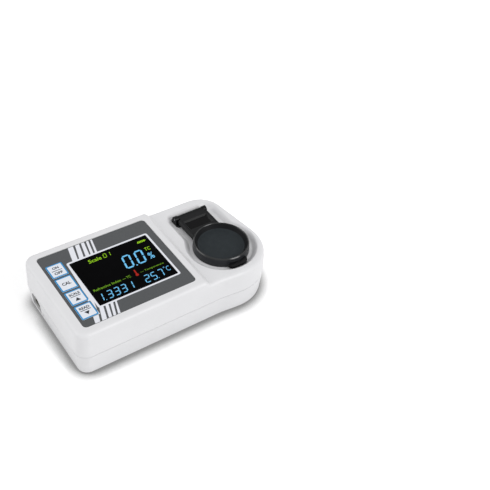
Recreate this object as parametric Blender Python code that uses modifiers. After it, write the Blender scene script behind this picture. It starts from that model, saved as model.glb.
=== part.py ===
"""Bench digital refractometer: a two-shell casing with a display panel, keys and a hinged sample lid."""

from math import atan2, cos, pi, radians, sin, sqrt

import bmesh
import bpy
from mathutils import Matrix, Vector

# Casing, seen from above: X runs from the socket end to the sample end, Y from front to back.
CASE_LENGTH = 0.162
CASE_DEPTH = 0.090
FOOT_DROP = 0.0012
DECK_HEIGHT = 0.0395
SPLIT_HEIGHT = 0.0182
SPLIT_GAP = 0.0003
CORNER_RADIUS = 0.0085
FRONT_FLARE = 0.0015
FLARE_LENGTH = 0.021
HEAD_RADIUS = 0.0321
END_SLANT = radians(8.4)
BACK_CORNER_RADIUS = 0.019
WALL = 0.0024
FLOOR = 0.0020
UPPER_DRAFT = 0.0005
LOWER_DRAFT = 0.0012
DECK_FILLET = 0.0032
CAVITY_FILLET = 0.0012
BASE_FILLET = 0.0012
LIP_HEIGHT = 0.0016
LIP_WALL = 0.0010
FIT_GAP = 0.0003
OVERRUN = 0.0020
EMBED = 0.0006

# Step from the display deck down to the sample end.
HEAD_DROP = 0.0038
STEP_FROM_PANEL = 0.0040
STEP_WIDTH = 0.0050
STEP_CUTS = 6

# Display panel: a printed film let into the deck, with a window and four keys.
PANEL_LEFT_MARGIN = 0.0080
PANEL_FRONT_MARGIN = 0.0073
PANEL_BACK_MARGIN = 0.0076
PANEL_TO_END = 0.0690
PANEL_CORNER = 0.0025
PANEL_THICKNESS = 0.0006
PANEL_SUNK = 0.0003
WINDOW_LEFT = 0.0171
WINDOW_RIGHT = 0.0066
WINDOW_FRONT = 0.0120
WINDOW_BACK = 0.0150
WINDOW_CORNER = 0.0008
WINDOW_LEDGE = 0.0015
KEY_NAMES = ("read", "scale", "cal", "on_off")
KEY_WIDTH = 0.0099
KEY_SPACING = 0.0034
KEY_LEFT = 0.0030
KEY_FRONT = 0.0077
KEY_BACK = 0.0113
KEY_CORNER = 0.0006
KEY_FLANGE = 0.0010
KEY_FLANGE_HEIGHT = 0.0009
KEY_TRAVEL = 0.00035

# Parts behind the panel.
LCD_MARGIN = 0.0020
LCD_HEIGHT = 0.0050
LCD_RIM = 0.0016
LCD_BACK = 0.0008
GLASS_HEIGHT = 0.0018
BOARD_MARGIN = 0.0040
BOARD_THICKNESS = 0.0016
BOARD_CORNER = 0.0020
POST_RADIUS = 0.0020
POST_LEFT = 0.0185
POST_RIGHT = 0.0080
POST_EDGE = 0.0032
SWITCH_SIZE = 0.0060
SWITCH_CORNER = 0.0004
PLUNGER_RADIUS = 0.0017
PLUNGER_HEIGHT = 0.0008

# Sample end: keyhole recess, lid and hinge.
LID_FROM_END = 0.0314
LID_SHARE = 0.229
RECESS_FRONT_MARGIN = 0.0067
RECESS_SPREAD = 0.0064
RECESS_NECK = 0.0212
RECESS_BLEND = 0.0120
RECESS_CORNER = 0.0080
RECESS_BACK_MARGIN = 0.0085
RECESS_DEPTH = 0.0033
RECESS_RUN = 0.0042
RECESS_RINGS = 7
RECESS_RING_SHARE = 0.18
RECESS_RIM_SHARE = 0.85
PAN_WALL = 0.0024
LID_TAPER = 0.0004
LID_EDGE = 0.0006
LID_RIM = 0.0013
LID_BAND = 0.0038
LID_DISH_DEPTH = 0.0042
LID_SKIRT = 0.0018
LID_PLATE = 0.0012
LID_CLEARANCE = 0.0004
INLAY_THICKNESS = 0.0006
TAB_WIDTH = 0.0160
TAB_REACH = 0.0039
TAB_LIFT = 0.0013
TAB_THICKNESS = 0.0020
TAB_CORNER = 0.0036
ARM_WIDTH = 0.0260
ARM_DEPTH = 0.0019
ARM_CHAMFER = 0.0007
ARM_RAIL = 0.0028
ARM_SLOPE = 0.0010
ARM_DISH = 0.0014
ARM_DISH_START = 0.0022
HINGE_OFFSET = 0.0018
HINGE_FROM_BACK = 0.0164
BARREL_RADIUS = 0.0022
BARREL_LENGTH = 0.0216
EAR_THICKNESS = 0.0029
EAR_DEPTH = 0.0072
EAR_RADIUS = 0.0026
BRACKET_PLATE = 0.0017
BRACKET_POCKET = 0.0008
BRACKET_FRONT = 0.0055
BRACKET_BACK = 0.0045
BRACKET_CORNER = 0.0015
BRACKET_SCREW_SPREAD = 0.0070
BRACKET_SCREW_SHIFT = 0.0028
PIN_RADIUS = 0.0010
GASKET_INSET = 0.0056
GASKET_WIDTH = 0.0030
GASKET_HEIGHT = 0.0010

# Sample plate and optics.
PLATE_INSET = 0.0051
PLATE_THICKNESS = 0.0008
PLATE_SEAT = 0.0012
DISH_SHARE = 0.534
DISH_FLOOR = 0.0070
DISH_DEPTH = 0.0015
PRISM_RADIUS = 0.0050
PRISM_CAP = 0.0024
PRISM_LENGTH = 0.0110
PRISM_WIDTH = 0.0080
PRISM_FOOT = 0.0040
PRISM_HEIGHT = 0.0060
SEAL_WIDTH = 0.0018
SEAL_HEIGHT = 0.0010
OPTICS_LENGTH = 0.0300
OPTICS_WIDTH = 0.0220
OPTICS_HEIGHT = 0.0130
OPTICS_CORNER = 0.0015
OPTICS_LUG = 0.0060
OPTICS_LUG_HEIGHT = 0.0025
TUNNEL_WIDTH = 0.0100
TUNNEL_HEIGHT = 0.0080
TUNNEL_WALL = 0.0030
LED_RADIUS = 0.0025
LED_FLANGE = 0.0006
LED_FLANGE_HEIGHT = 0.0010
LED_LENGTH = 0.0060
LENS_FROM_PRISM = 0.0085
LENS_RADIUS = 0.0037
LENS_EDGE = 0.0012
LENS_CROWN = 0.0010
LENS_SHARES = ((0.35, 1.0), (0.8, 0.45), (1.0, 0.0))
SENSOR_BOARD_WIDTH = 0.0160
SENSOR_BOARD_HEIGHT = 0.0120
SENSOR_BOARD_THICKNESS = 0.0012
CHIP_LENGTH = 0.0080
CHIP_WIDTH = 0.0040
CHIP_HEIGHT = 0.0016
PROBE_RADIUS = 0.0010
PROBE_RISE = 0.0006
PROBE_LENGTH = 0.0030

# Socket in the left wall, with its small board.
SOCKET_WIDTH = 0.0120
SOCKET_HEIGHT = 0.0109
SOCKET_DEPTH = 0.0160
SOCKET_WALL = 0.0014
SOCKET_CHAMFER = 0.0026
SOCKET_CAVITY = 0.0090
SOCKET_SETBACK = 0.0008
SOCKET_FROM_BACK = 0.0185
PORT_CLEARANCE = 0.0007
TONGUE_WIDTH = 0.0056
TONGUE_HEIGHT = 0.0034
TONGUE_SETBACK = 0.0034
SOCKET_BOARD_THICKNESS = 0.0012
SOCKET_BOARD_LENGTH = 0.0200
SOCKET_BOARD_WIDTH = 0.0120
PIN_HOLE_RADIUS = 0.0009
PIN_HOLE_FROM_SOCKET = 0.0098
PIN_HOLE_RISE = 0.0045

# Battery compartment in the base.
CELL_LENGTH = 0.0530
CELL_HEIGHT = 0.0085
CELL_CORNER = 0.0030
BAY_WALL = 0.0020
BAY_END = 0.0070
BAY_FROM_LEFT = 0.0437
BAY_FRONT_MARGIN = 0.0185
BAY_SOCKET_GAP = 0.0015
BAY_BOSS_RADIUS = 0.0026
BAY_BOSS_HEIGHT = 0.0045
LEAD_SLOT = 0.0040
COVER_THICKNESS = 0.0018
COVER_CORNER = 0.0030
COVER_LEDGE = 0.0020

# Feet and screws.
FOOT_RADIUS = 0.0050
FOOT_SUNK = 0.0011
FOOT_EDGE = 0.0004
FOOT_LEFT = 0.0220
FOOT_RIGHT = 0.0270
FOOT_SIDE = 0.0115
BOSS_RADIUS = 0.0038
BOSS_INSET = 0.0082
HEAD_BOSS_FRONT = (0.0100, 0.0200)
HEAD_BOSS_BACK = (0.0150, 0.0150)
SCREW_RADIUS = 0.0014
SCREW_HEAD_RADIUS = 0.0027
SCREW_HEAD_HEIGHT = 0.0018
SCREW_WELL = 0.0040
SCREW_REACH = 0.0090
SMALL_RADIUS = 0.0009
SMALL_HEAD_RADIUS = 0.0018
SMALL_HEAD_HEIGHT = 0.0009
SMALL_REACH = 0.0042
SLOT_WIDTH = 0.0006
SLOT_DEPTH = 0.0004

# Smoothness of round pieces.
SMOOTH_ANGLE = radians(35)
UPRIGHT_ANGLE = radians(1)
MERGE_WITHIN = 1e-6
BEVEL_STEPS = 3
CORNER_STEPS = 5
HEAD_STEPS = 12
FLARE_STEPS = 6
FILLET_STEPS = 4
ROUND = 20
LID_ROUND = 44
FINE_ROUND = 12

# Places that follow from the sizes above.
LEFT = -CASE_LENGTH / 2
RIGHT = CASE_LENGTH / 2
FRONT = -CASE_DEPTH / 2
BACK = CASE_DEPTH / 2
BASE = FOOT_DROP
FLOOR_TOP = BASE + FLOOR
SPLIT_LOW = SPLIT_HEIGHT - SPLIT_GAP / 2
SPLIT_HIGH = SPLIT_HEIGHT + SPLIT_GAP / 2
HEAD_CENTRE = (RIGHT - HEAD_RADIUS, FRONT + HEAD_RADIUS)
FRONT_WALL = FRONT + FRONT_FLARE
CEILING = DECK_HEIGHT - WALL
HEAD_TOP = DECK_HEIGHT - HEAD_DROP
PANEL_WIDTH = CASE_LENGTH - PANEL_LEFT_MARGIN - PANEL_TO_END
PANEL_DEPTH = CASE_DEPTH - FRONT_FLARE - PANEL_FRONT_MARGIN - PANEL_BACK_MARGIN
PANEL_LEFT = LEFT + PANEL_LEFT_MARGIN
PANEL_FRONT = FRONT_WALL + PANEL_FRONT_MARGIN
PANEL_CENTRE = (PANEL_LEFT + PANEL_WIDTH / 2, PANEL_FRONT + PANEL_DEPTH / 2)
PANEL_TOP = DECK_HEIGHT - PANEL_SUNK
PANEL_BOTTOM = PANEL_TOP - PANEL_THICKNESS
PANEL_SEAT = PANEL_BOTTOM - FIT_GAP
WINDOW_WIDTH = PANEL_WIDTH - WINDOW_LEFT - WINDOW_RIGHT
WINDOW_DEPTH = PANEL_DEPTH - WINDOW_FRONT - WINDOW_BACK
WINDOW_CENTRE = (PANEL_LEFT + WINDOW_LEFT + WINDOW_WIDTH / 2, PANEL_FRONT + WINDOW_FRONT + WINDOW_DEPTH / 2)
KEY_PITCH = (PANEL_DEPTH - KEY_FRONT - KEY_BACK + KEY_SPACING) / len(KEY_NAMES)
KEY_DEPTH = KEY_PITCH - KEY_SPACING
STEP_START = PANEL_LEFT + PANEL_WIDTH + STEP_FROM_PANEL
LCD_WIDTH = WINDOW_WIDTH + 2 * LCD_MARGIN
LCD_DEPTH = WINDOW_DEPTH + 2 * LCD_MARGIN
LCD_TOP = CEILING - FIT_GAP
LCD_BOTTOM = LCD_TOP - LCD_HEIGHT
BOARD_TOP = LCD_BOTTOM - FIT_GAP
BOARD_BOTTOM = BOARD_TOP - BOARD_THICKNESS
FLANGE_TOP = CEILING - FIT_GAP
FLANGE_BOTTOM = FLANGE_TOP - KEY_FLANGE_HEIGHT
PLUNGER_TOP = FLANGE_BOTTOM - KEY_TRAVEL - FIT_GAP
LID_RADIUS = CASE_DEPTH * LID_SHARE
LID_DISH_RADIUS = LID_RADIUS - LID_BAND
GASKET_RADIUS = LID_RADIUS - GASKET_INSET
PLATE_RADIUS = LID_RADIUS - PLATE_INSET
DISH_RADIUS = LID_RADIUS * DISH_SHARE
RECESS_RADIUS = LID_RADIUS + RECESS_SPREAD
LID_CENTRE = (RIGHT - LID_FROM_END, FRONT + RECESS_FRONT_MARGIN + RECESS_RADIUS)
RECESS_FLOOR = HEAD_TOP - RECESS_DEPTH
PAN_BOTTOM = RECESS_FLOOR - PAN_WALL
LID_BOTTOM = RECESS_FLOOR + LID_CLEARANCE
LID_FLOOR = DECK_HEIGHT - LID_DISH_DEPTH
LID_UNDER = LID_FLOOR - LID_PLATE
BRACKET_SEAT = RECESS_FLOOR - BRACKET_POCKET
BRACKET_TOP = BRACKET_SEAT + FIT_GAP + BRACKET_PLATE
HINGE = Vector(
    (LID_CENTRE[0] - HINGE_OFFSET, BACK - HINGE_FROM_BACK, BRACKET_TOP + FIT_GAP + BARREL_RADIUS)
)
EAR_START = BARREL_LENGTH / 2 + FIT_GAP
EAR_END = EAR_START + EAR_THICKNESS
ARM_END = HINGE.y - EAR_DEPTH / 2 - FIT_GAP
PLATE_BOTTOM = RECESS_FLOOR - PLATE_SEAT + FIT_GAP
PLATE_TOP = PLATE_BOTTOM + PLATE_THICKNESS
PRISM_TOP = PLATE_TOP - DISH_DEPTH
OPTICS_TOP = PAN_BOTTOM - FIT_GAP
OPTICS_BOTTOM = OPTICS_TOP - OPTICS_HEIGHT
TUNNEL_Z = OPTICS_TOP - OPTICS_HEIGHT / 2
OPTICS_LEFT = LID_CENTRE[0] - OPTICS_LENGTH / 2
OPTICS_RIGHT = LID_CENTRE[0] + OPTICS_LENGTH / 2
SOCKET_Y = BACK - SOCKET_FROM_BACK
SOCKET_MOUTH = LEFT + LOWER_DRAFT + SOCKET_SETBACK
SOCKET_BOARD_BOTTOM = FLOOR_TOP + FIT_GAP
SOCKET_BOTTOM = SOCKET_BOARD_BOTTOM + SOCKET_BOARD_THICKNESS + FIT_GAP
SOCKET_PLACE = (SOCKET_Y, SOCKET_BOTTOM + SOCKET_HEIGHT / 2)
INNER_LEFT = LEFT + WALL + LOWER_DRAFT
BAY_FRONT = FRONT_WALL + BAY_FRONT_MARGIN
BAY_DEPTH = SOCKET_Y - SOCKET_WIDTH / 2 - BAY_SOCKET_GAP - BAY_FRONT
BAY_CENTRE = (LEFT + BAY_FROM_LEFT, BAY_FRONT + BAY_DEPTH / 2)
CELL_WIDTH = BAY_DEPTH - 2 * (COVER_LEDGE + BAY_WALL)
COVER_LENGTH = CELL_LENGTH + 2 * BAY_END
COVER_WIDTH = CELL_WIDTH + 2 * COVER_LEDGE
COVER_TOP = BASE + COVER_THICKNESS
LEDGE = COVER_TOP + FIT_GAP
BAY_TOP = LEDGE + CELL_HEIGHT + FIT_GAP
COVER_SCREW_X = CELL_LENGTH / 2 + BAY_END / 2
SMALL_SINK = SMALL_HEAD_HEIGHT + FIT_GAP
SMALL_HOLE = SMALL_RADIUS + FIT_GAP
SMALL_HEAD_HOLE = SMALL_HEAD_RADIUS + FIT_GAP
SCREW_SEAT = BASE + SCREW_WELL
SCREW_PLACES = (
    (LEFT + BOSS_INSET, FRONT_WALL + BOSS_INSET),
    (LEFT + BOSS_INSET, BACK - BOSS_INSET),
    (RIGHT - HEAD_BOSS_FRONT[0], FRONT + HEAD_BOSS_FRONT[1]),
    (RIGHT - HEAD_BOSS_BACK[0], BACK - HEAD_BOSS_BACK[1]),
)
FOOT_PLACES = (
    (LEFT + FOOT_LEFT, FRONT_WALL + FOOT_SIDE),
    (LEFT + FOOT_LEFT, BACK - FOOT_SIDE),
    (RIGHT - FOOT_RIGHT, FRONT + FOOT_SIDE),
    (RIGHT - FOOT_RIGHT, BACK - FOOT_SIDE),
)
BOARD_FRONT = PANEL_FRONT + BOARD_MARGIN
BOARD_BACK = PANEL_FRONT + PANEL_DEPTH - BOARD_MARGIN
POST_PLACES = [
    (x, y)
    for x in (PANEL_LEFT + POST_LEFT, PANEL_LEFT + PANEL_WIDTH - POST_RIGHT)
    for y in (BOARD_FRONT + POST_EDGE, BOARD_BACK - POST_EDGE)
]
LUG_PLACES = [(LID_CENTRE[0], LID_CENTRE[1] + side * (OPTICS_WIDTH + OPTICS_LUG) / 2) for side in (-1, 1)]
BRACKET_SCREWS = [
    (HINGE.x + side * BRACKET_SCREW_SPREAD, HINGE.y - BRACKET_SCREW_SHIFT) for side in (-1, 1)
]
COVER_SCREWS = [(BAY_CENTRE[0] + side * COVER_SCREW_X, BAY_CENTRE[1]) for side in (-1, 1)]

WHITE = ("case_white", (0.80, 0.80, 0.83), 0.45, 0.0)
BLACK = ("lid_black", (0.012, 0.012, 0.013), 0.35, 0.0)
INLAY = ("inlay_grey", (0.022, 0.028, 0.031), 0.5, 0.0)
FILM = ("panel_grey", (0.085, 0.09, 0.095), 0.4, 0.0)
KEY_FACE = ("key_white", (0.78, 0.82, 0.86), 0.4, 0.0)
SCREEN = ("screen_black", (0.004, 0.004, 0.005), 0.1, 0.0)
DIFFUSER = ("diffuser_white", (0.75, 0.76, 0.75), 0.6, 0.0)
STEEL = ("steel", (0.62, 0.62, 0.60), 0.3, 1.0)
GLASS = ("prism_glass", (0.75, 0.82, 0.85), 0.05, 0.0)
BOARD = ("board_green", (0.02, 0.16, 0.06), 0.5, 0.0)
RUBBER = ("rubber_black", (0.015, 0.015, 0.015), 0.8, 0.0)
PLASTIC = ("inner_black", (0.02, 0.02, 0.022), 0.55, 0.0)
CELL = ("cell_wrap", (0.03, 0.08, 0.25), 0.45, 0.0)


def clear_scene():
    for item in list(bpy.data.objects):
        bpy.data.objects.remove(item, do_unlink=True)


def collection(name):
    made = bpy.data.collections.new(name)
    bpy.context.scene.collection.children.link(made)
    return made


def material(spec):
    name, colour, roughness, metallic = spec
    found = bpy.data.materials.get(name)
    if found:
        return found
    made = bpy.data.materials.new(name)
    made.use_nodes = True
    made.diffuse_color = (*colour, 1)
    shader = made.node_tree.nodes["Principled BSDF"]
    shader.inputs["Base Color"].default_value = (*colour, 1)
    shader.inputs["Roughness"].default_value = roughness
    shader.inputs["Metallic"].default_value = metallic
    return made


def add(name, mesh, spec=None):
    """An object of the model, or a helper that only cuts or joins where no material is given."""
    item = bpy.data.objects.new(name, mesh)
    if spec:
        mesh.materials.append(material(spec))
        parts.objects.link(item)
    else:
        helpers.objects.link(item)
        item.hide_render = True
        item.display_type = "WIRE"
    return item


def mesh_of(name, shape):
    bmesh.ops.recalc_face_normals(shape, faces=shape.faces)
    mesh = bpy.data.meshes.new(name)
    shape.to_mesh(mesh)
    shape.free()
    return mesh


def smooth(item):
    item.data.shade_smooth()
    item.data.set_sharp_from_angle(angle=SMOOTH_ANGLE)
    return item


def upright(edge):
    run = edge.verts[1].co - edge.verts[0].co
    return abs(run.z) > run.length * cos(UPRIGHT_ANGLE)


def box(name, low, high, spec=None, corner=0):
    """A block between two corners, with its upright edges rounded."""
    low, high = Vector(low), Vector(high)
    shape = bmesh.new()
    bmesh.ops.create_cube(shape, size=1)
    bmesh.ops.scale(shape, vec=high - low, verts=shape.verts)
    bmesh.ops.translate(shape, vec=(low + high) / 2, verts=shape.verts)
    if corner:
        edges = [edge for edge in shape.edges if upright(edge)]
        bmesh.ops.bevel(shape, geom=edges, offset=corner, segments=BEVEL_STEPS, affect="EDGES", profile=0.5)
    return add(name, mesh_of(name, shape), spec)


def plate(name, centre, width, depth, bottom, top, spec=None, corner=0):
    low = (centre[0] - width / 2, centre[1] - depth / 2, bottom)
    high = (centre[0] + width / 2, centre[1] + depth / 2, top)
    return box(name, low, high, spec, corner)


def rod(name, centre, radius, start, end, spec=None, along_x=False, segments=ROUND):
    """A round bar between two heights, or two X places; centre gives its other two coordinates in order."""
    shape = bmesh.new()
    bmesh.ops.create_cone(
        shape, cap_ends=True, segments=segments, radius1=radius, radius2=radius, depth=end - start
    )
    middle = (start + end) / 2
    if along_x:
        place = Matrix.Translation((middle, *centre)) @ Matrix.Rotation(pi / 2, 4, "Y")
    else:
        place = Matrix.Translation((*centre, middle))
    bmesh.ops.transform(shape, matrix=place, verts=shape.verts)
    return smooth(add(name, mesh_of(name, shape), spec))


def turned(name, centre, profile, spec=None, segments=ROUND):
    """A profile of radii and heights, listed down its outer side, turned about a vertical axis."""
    count = len(profile)
    edges = [(i, i + 1) for i in range(count - 1)]
    if profile[0][0] > 0:
        edges.append((count - 1, 0))
    mesh = bpy.data.meshes.new(name)
    mesh.from_pydata([(radius, 0, height) for radius, height in profile], edges, [])
    item = add(name, mesh, spec)
    item.location = (*centre, 0)
    screw = item.modifiers.new("turn", "SCREW")
    screw.steps = screw.render_steps = segments
    screw.use_merge_vertices = True
    screw.merge_threshold = MERGE_WITHIN
    screw.use_smooth_shade = False
    return item


def loft(name, rings, spec=None, reshape=None):
    """A closed body through rings of equal point counts, capped at both ends."""
    shape = bmesh.new()
    rows = [[shape.verts.new(point) for point in ring] for ring in rings]
    count = len(rows[0])
    for low, high in zip(rows, rows[1:]):
        for i in range(count):
            j = (i + 1) % count
            shape.faces.new((low[i], low[j], high[j], high[i]))
    shape.faces.new(rows[0][::-1])
    shape.faces.new(rows[-1])
    if reshape:
        reshape(shape)
    return smooth(add(name, mesh_of(name, shape), spec))


def bar(name, outline, start, end, spec=None):
    """An outline of (y, z) points carried along X."""
    return loft(name, [[(x, y, z) for y, z in outline] for x in (start, end)], spec)


def combine(item, tool, operation):
    modifier = item.modifiers.new(tool.name, "BOOLEAN")
    modifier.operation = operation
    modifier.object = tool
    modifier.solver = "EXACT"


def cut(item, *tools):
    for tool in tools:
        combine(item, tool, "DIFFERENCE")


def join(item, *tools):
    for tool in tools:
        combine(item, tool, "UNION")


def pivot(name, place, *items):
    """An empty on a joint's axis, which carries the pieces that move with it."""
    empty = bpy.data.objects.new(name, None)
    parts.objects.link(empty)
    empty.location = place
    for item in items:
        item.parent = empty
        item.matrix_parent_inverse = Matrix.Translation(-Vector(place))


def arc(centre, radius, start, end, steps):
    turns = [start + (end - start) * k / steps for k in range(steps + 1)]
    return [(centre[0] + radius * cos(turn), centre[1] + radius * sin(turn)) for turn in turns]


def ease(share):
    share = min(max(share, 0), 1)
    return share * share * (3 - 2 * share)


def case_outline(inset):
    """The casing's plan, anticlockwise from its front left corner, drawn in by inset."""
    left_x = LEFT + CORNER_RADIUS
    flare_x = HEAD_CENTRE[0] - FLARE_LENGTH
    back_y = BACK - BACK_CORNER_RADIUS
    rise = (back_y - HEAD_CENTRE[1]) * sin(END_SLANT)
    back_x = HEAD_CENTRE[0] + (HEAD_RADIUS - BACK_CORNER_RADIUS - rise) / cos(END_SLANT)
    points = arc((left_x, FRONT_WALL + CORNER_RADIUS), CORNER_RADIUS - inset, pi, 1.5 * pi, CORNER_STEPS)
    for k in range(FLARE_STEPS):
        share = k / FLARE_STEPS
        points.append((flare_x + FLARE_LENGTH * share, FRONT_WALL + inset - FRONT_FLARE * ease(share)))
    points += arc(HEAD_CENTRE, HEAD_RADIUS - inset, -pi / 2, END_SLANT, HEAD_STEPS)
    points += arc((back_x, back_y), BACK_CORNER_RADIUS - inset, END_SLANT, pi / 2, CORNER_STEPS)
    points += arc((left_x, BACK - CORNER_RADIUS), CORNER_RADIUS - inset, pi / 2, pi, CORNER_STEPS)
    return points


def recess_outline(inset):
    """The keyhole round the lid and hinge, anticlockwise from the neck's right side, drawn in by inset."""
    reach = RECESS_RADIUS + RECESS_BLEND
    across = RECESS_NECK + RECESS_BLEND
    along = sqrt(reach * reach - across * across)
    lean = atan2(along, across)
    x, y = LID_CENTRE
    corner_x = RECESS_NECK - RECESS_CORNER
    corner_y = BACK - RECESS_BACK_MARGIN - RECESS_CORNER
    points = arc((x + across, y + along), RECESS_BLEND + inset, pi + lean, pi, CORNER_STEPS)
    points += arc((x + corner_x, corner_y), RECESS_CORNER - inset, 0, pi / 2, CORNER_STEPS)
    points += arc((x - corner_x, corner_y), RECESS_CORNER - inset, pi / 2, pi, CORNER_STEPS)
    points += arc((x - across, y + along), RECESS_BLEND + inset, 0, -lean, CORNER_STEPS)
    points += arc(LID_CENTRE, RECESS_RADIUS - inset, pi - lean, 2 * pi + lean, 2 * HEAD_STEPS)[1:-1]
    return points


def lower_head(shape):
    """Cuts the block across the step and lowers the sample end, the wall's foot staying where it is."""
    for k in range(STEP_CUTS + 1):
        place = (STEP_START + STEP_WIDTH * k / STEP_CUTS, 0, 0)
        everything = shape.verts[:] + shape.edges[:] + shape.faces[:]
        bmesh.ops.bisect_plane(shape, geom=everything, plane_co=place, plane_no=(1, 0, 0))
    knee = DECK_HEIGHT - DECK_FILLET
    for vert in shape.verts:
        share = min(max((vert.co.z - SPLIT_HIGH) / (knee - SPLIT_HIGH), 0), 1)
        vert.co.z -= HEAD_DROP * share * ease((vert.co.x - STEP_START) / STEP_WIDTH)


def case_block(name, profile, spec=None, reshape=None):
    """The casing's plan carried up through a list of insets and heights."""
    rings = [[(x, y, height) for x, y in case_outline(inset)] for inset, height in profile]
    return loft(name, rings, spec, reshape)


def domed(inset, bottom, top, fillet):
    """Insets and heights of a drafted wall that rounds over into a flat top."""
    rings = [(inset, bottom)]
    for k in range(FILLET_STEPS + 1):
        turn = pi / 2 * k / FILLET_STEPS
        rings.append((inset + UPPER_DRAFT + fillet * (1 - cos(turn)), top - fillet * (1 - sin(turn))))
    return rings


def footed(bottom, top):
    """Insets and heights of the base wall, rounded under and drafted out to the parting line."""
    rings = []
    for k in range(FILLET_STEPS + 1):
        turn = pi / 2 * k / FILLET_STEPS
        rings.append((LOWER_DRAFT + BASE_FILLET * (1 - sin(turn)), bottom + BASE_FILLET * (1 - cos(turn))))
    rings.append((0, top))
    return rings


def recess_cutter():
    """The keyhole's soft sloping wall, from its floor out through the head's flat top."""
    rim = ease(RECESS_RIM_SHARE)
    rings = []
    for k in range(RECESS_RINGS):
        share = k * RECESS_RING_SHARE
        height = RECESS_FLOOR + RECESS_DEPTH * ease(share * RECESS_RIM_SHARE) / rim
        rings.append([(x, y, height) for x, y in recess_outline(RECESS_RUN * (1 - share))])
    rings.append([(x, y, height + OVERRUN) for x, y, height in rings[-1]])
    return loft("recess_cutter", rings)


def key_centre(index):
    x = PANEL_LEFT + KEY_LEFT + KEY_WIDTH / 2
    return x, PANEL_FRONT + KEY_FRONT + KEY_DEPTH / 2 + KEY_PITCH * index


def key_holes(label, bottom, top):
    width = KEY_WIDTH + 2 * FIT_GAP
    depth = KEY_DEPTH + 2 * FIT_GAP
    return [
        plate(f"{label}_{name}", key_centre(i), width, depth, bottom, top, corner=KEY_CORNER + FIT_GAP)
        for i, name in enumerate(KEY_NAMES)
    ]


def upper_shell():
    shell = case_block("upper_shell", domed(0, SPLIT_HIGH, DECK_HEIGHT, DECK_FILLET), WHITE, lower_head)
    cavity_profile = domed(WALL, SPLIT_HIGH - OVERRUN, CEILING, CAVITY_FILLET)
    cut(shell, case_block("upper_cavity", cavity_profile, None, lower_head))
    pan_outline = recess_outline(RECESS_RUN - PAN_WALL)
    pan_heights = (PAN_BOTTOM, HEAD_TOP - WALL + EMBED)
    join(shell, loft("pan_pad", [[(x, y, z) for x, y in pan_outline] for z in pan_heights]))
    for i, place in enumerate(SCREW_PLACES):
        ceiling = CEILING if place[0] < STEP_START else CEILING - HEAD_DROP
        join(shell, rod(f"upper_boss_{i + 1}", place, BOSS_RADIUS, SPLIT_HIGH, ceiling + EMBED))
    for i, place in enumerate(POST_PLACES):
        join(shell, rod(f"post_{i + 1}", place, POST_RADIUS, BOARD_TOP + FIT_GAP, CEILING + EMBED))
    for i, place in enumerate(BRACKET_SCREWS):
        low = PAN_BOTTOM - SMALL_REACH
        join(shell, rod(f"bracket_boss_{i + 1}", place, POST_RADIUS, low, PAN_BOTTOM + EMBED))
    cut(shell, recess_cutter())
    cut_panel_seat(shell)
    cut_sample_seat(shell)
    rebate = [[(x, y, z) for x, y in case_outline(WALL - LIP_WALL - FIT_GAP)] for z in rebate_heights()]
    cut(shell, loft("lip_rebate", rebate))
    for i, place in enumerate(SCREW_PLACES):
        high = SPLIT_HIGH + SCREW_REACH + FIT_GAP
        cut(
            shell,
            rod(f"upper_screw_hole_{i + 1}", place, SCREW_RADIUS + FIT_GAP, SPLIT_LOW - OVERRUN, high),
        )
    for i, place in enumerate(POST_PLACES):
        high = BOARD_BOTTOM + SMALL_REACH + FIT_GAP
        cut(shell, rod(f"post_hole_{i + 1}", place, SMALL_HOLE, BOARD_BOTTOM, high, segments=FINE_ROUND))
    return shell


def rebate_heights():
    return SPLIT_LOW - OVERRUN, SPLIT_LOW + LIP_HEIGHT + FIT_GAP


def cut_panel_seat(shell):
    top = DECK_HEIGHT + OVERRUN
    width = PANEL_WIDTH + 2 * FIT_GAP
    depth = PANEL_DEPTH + 2 * FIT_GAP
    cut(
        shell,
        plate("panel_seat", PANEL_CENTRE, width, depth, PANEL_SEAT, top, corner=PANEL_CORNER + FIT_GAP),
    )
    width = WINDOW_WIDTH - 2 * WINDOW_LEDGE
    depth = WINDOW_DEPTH - 2 * WINDOW_LEDGE
    cut(
        shell,
        plate("window_cutter", WINDOW_CENTRE, width, depth, CEILING - OVERRUN, top, corner=WINDOW_CORNER),
    )
    cut(shell, *key_holes("key_aperture", CEILING - OVERRUN, top))


def cut_sample_seat(shell):
    high = RECESS_FLOOR + OVERRUN
    low = PAN_BOTTOM - OVERRUN
    cut(shell, rod("plate_seat", LID_CENTRE, PLATE_RADIUS + FIT_GAP, RECESS_FLOOR - PLATE_SEAT, high))
    cut(shell, rod("dish_hole", LID_CENTRE, DISH_RADIUS + FIT_GAP, low, high))
    front, back, width = bracket_span(FIT_GAP)
    corner = BRACKET_CORNER + FIT_GAP
    centre = (HINGE.x, (front + back) / 2)
    cut(shell, plate("bracket_pocket", centre, width, back - front, BRACKET_SEAT, high, corner=corner))
    for i, place in enumerate(BRACKET_SCREWS):
        low = PAN_BOTTOM - SMALL_REACH - OVERRUN
        cut(shell, rod(f"bracket_hole_{i + 1}", place, SMALL_HOLE, low, high, segments=FINE_ROUND))
    for i, place in enumerate(LUG_PLACES):
        low = PAN_BOTTOM - OVERRUN
        top = OPTICS_TOP - OPTICS_LUG_HEIGHT + SMALL_REACH + FIT_GAP
        cut(shell, rod(f"lug_socket_{i + 1}", place, SMALL_HOLE, low, top, segments=FINE_ROUND))


def bracket_span(gap=0):
    """Front, back and width of the hinge bracket's foot, grown by a gap."""
    return HINGE.y - BRACKET_FRONT - gap, HINGE.y + BRACKET_BACK + gap, 2 * (EAR_END + gap)


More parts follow.
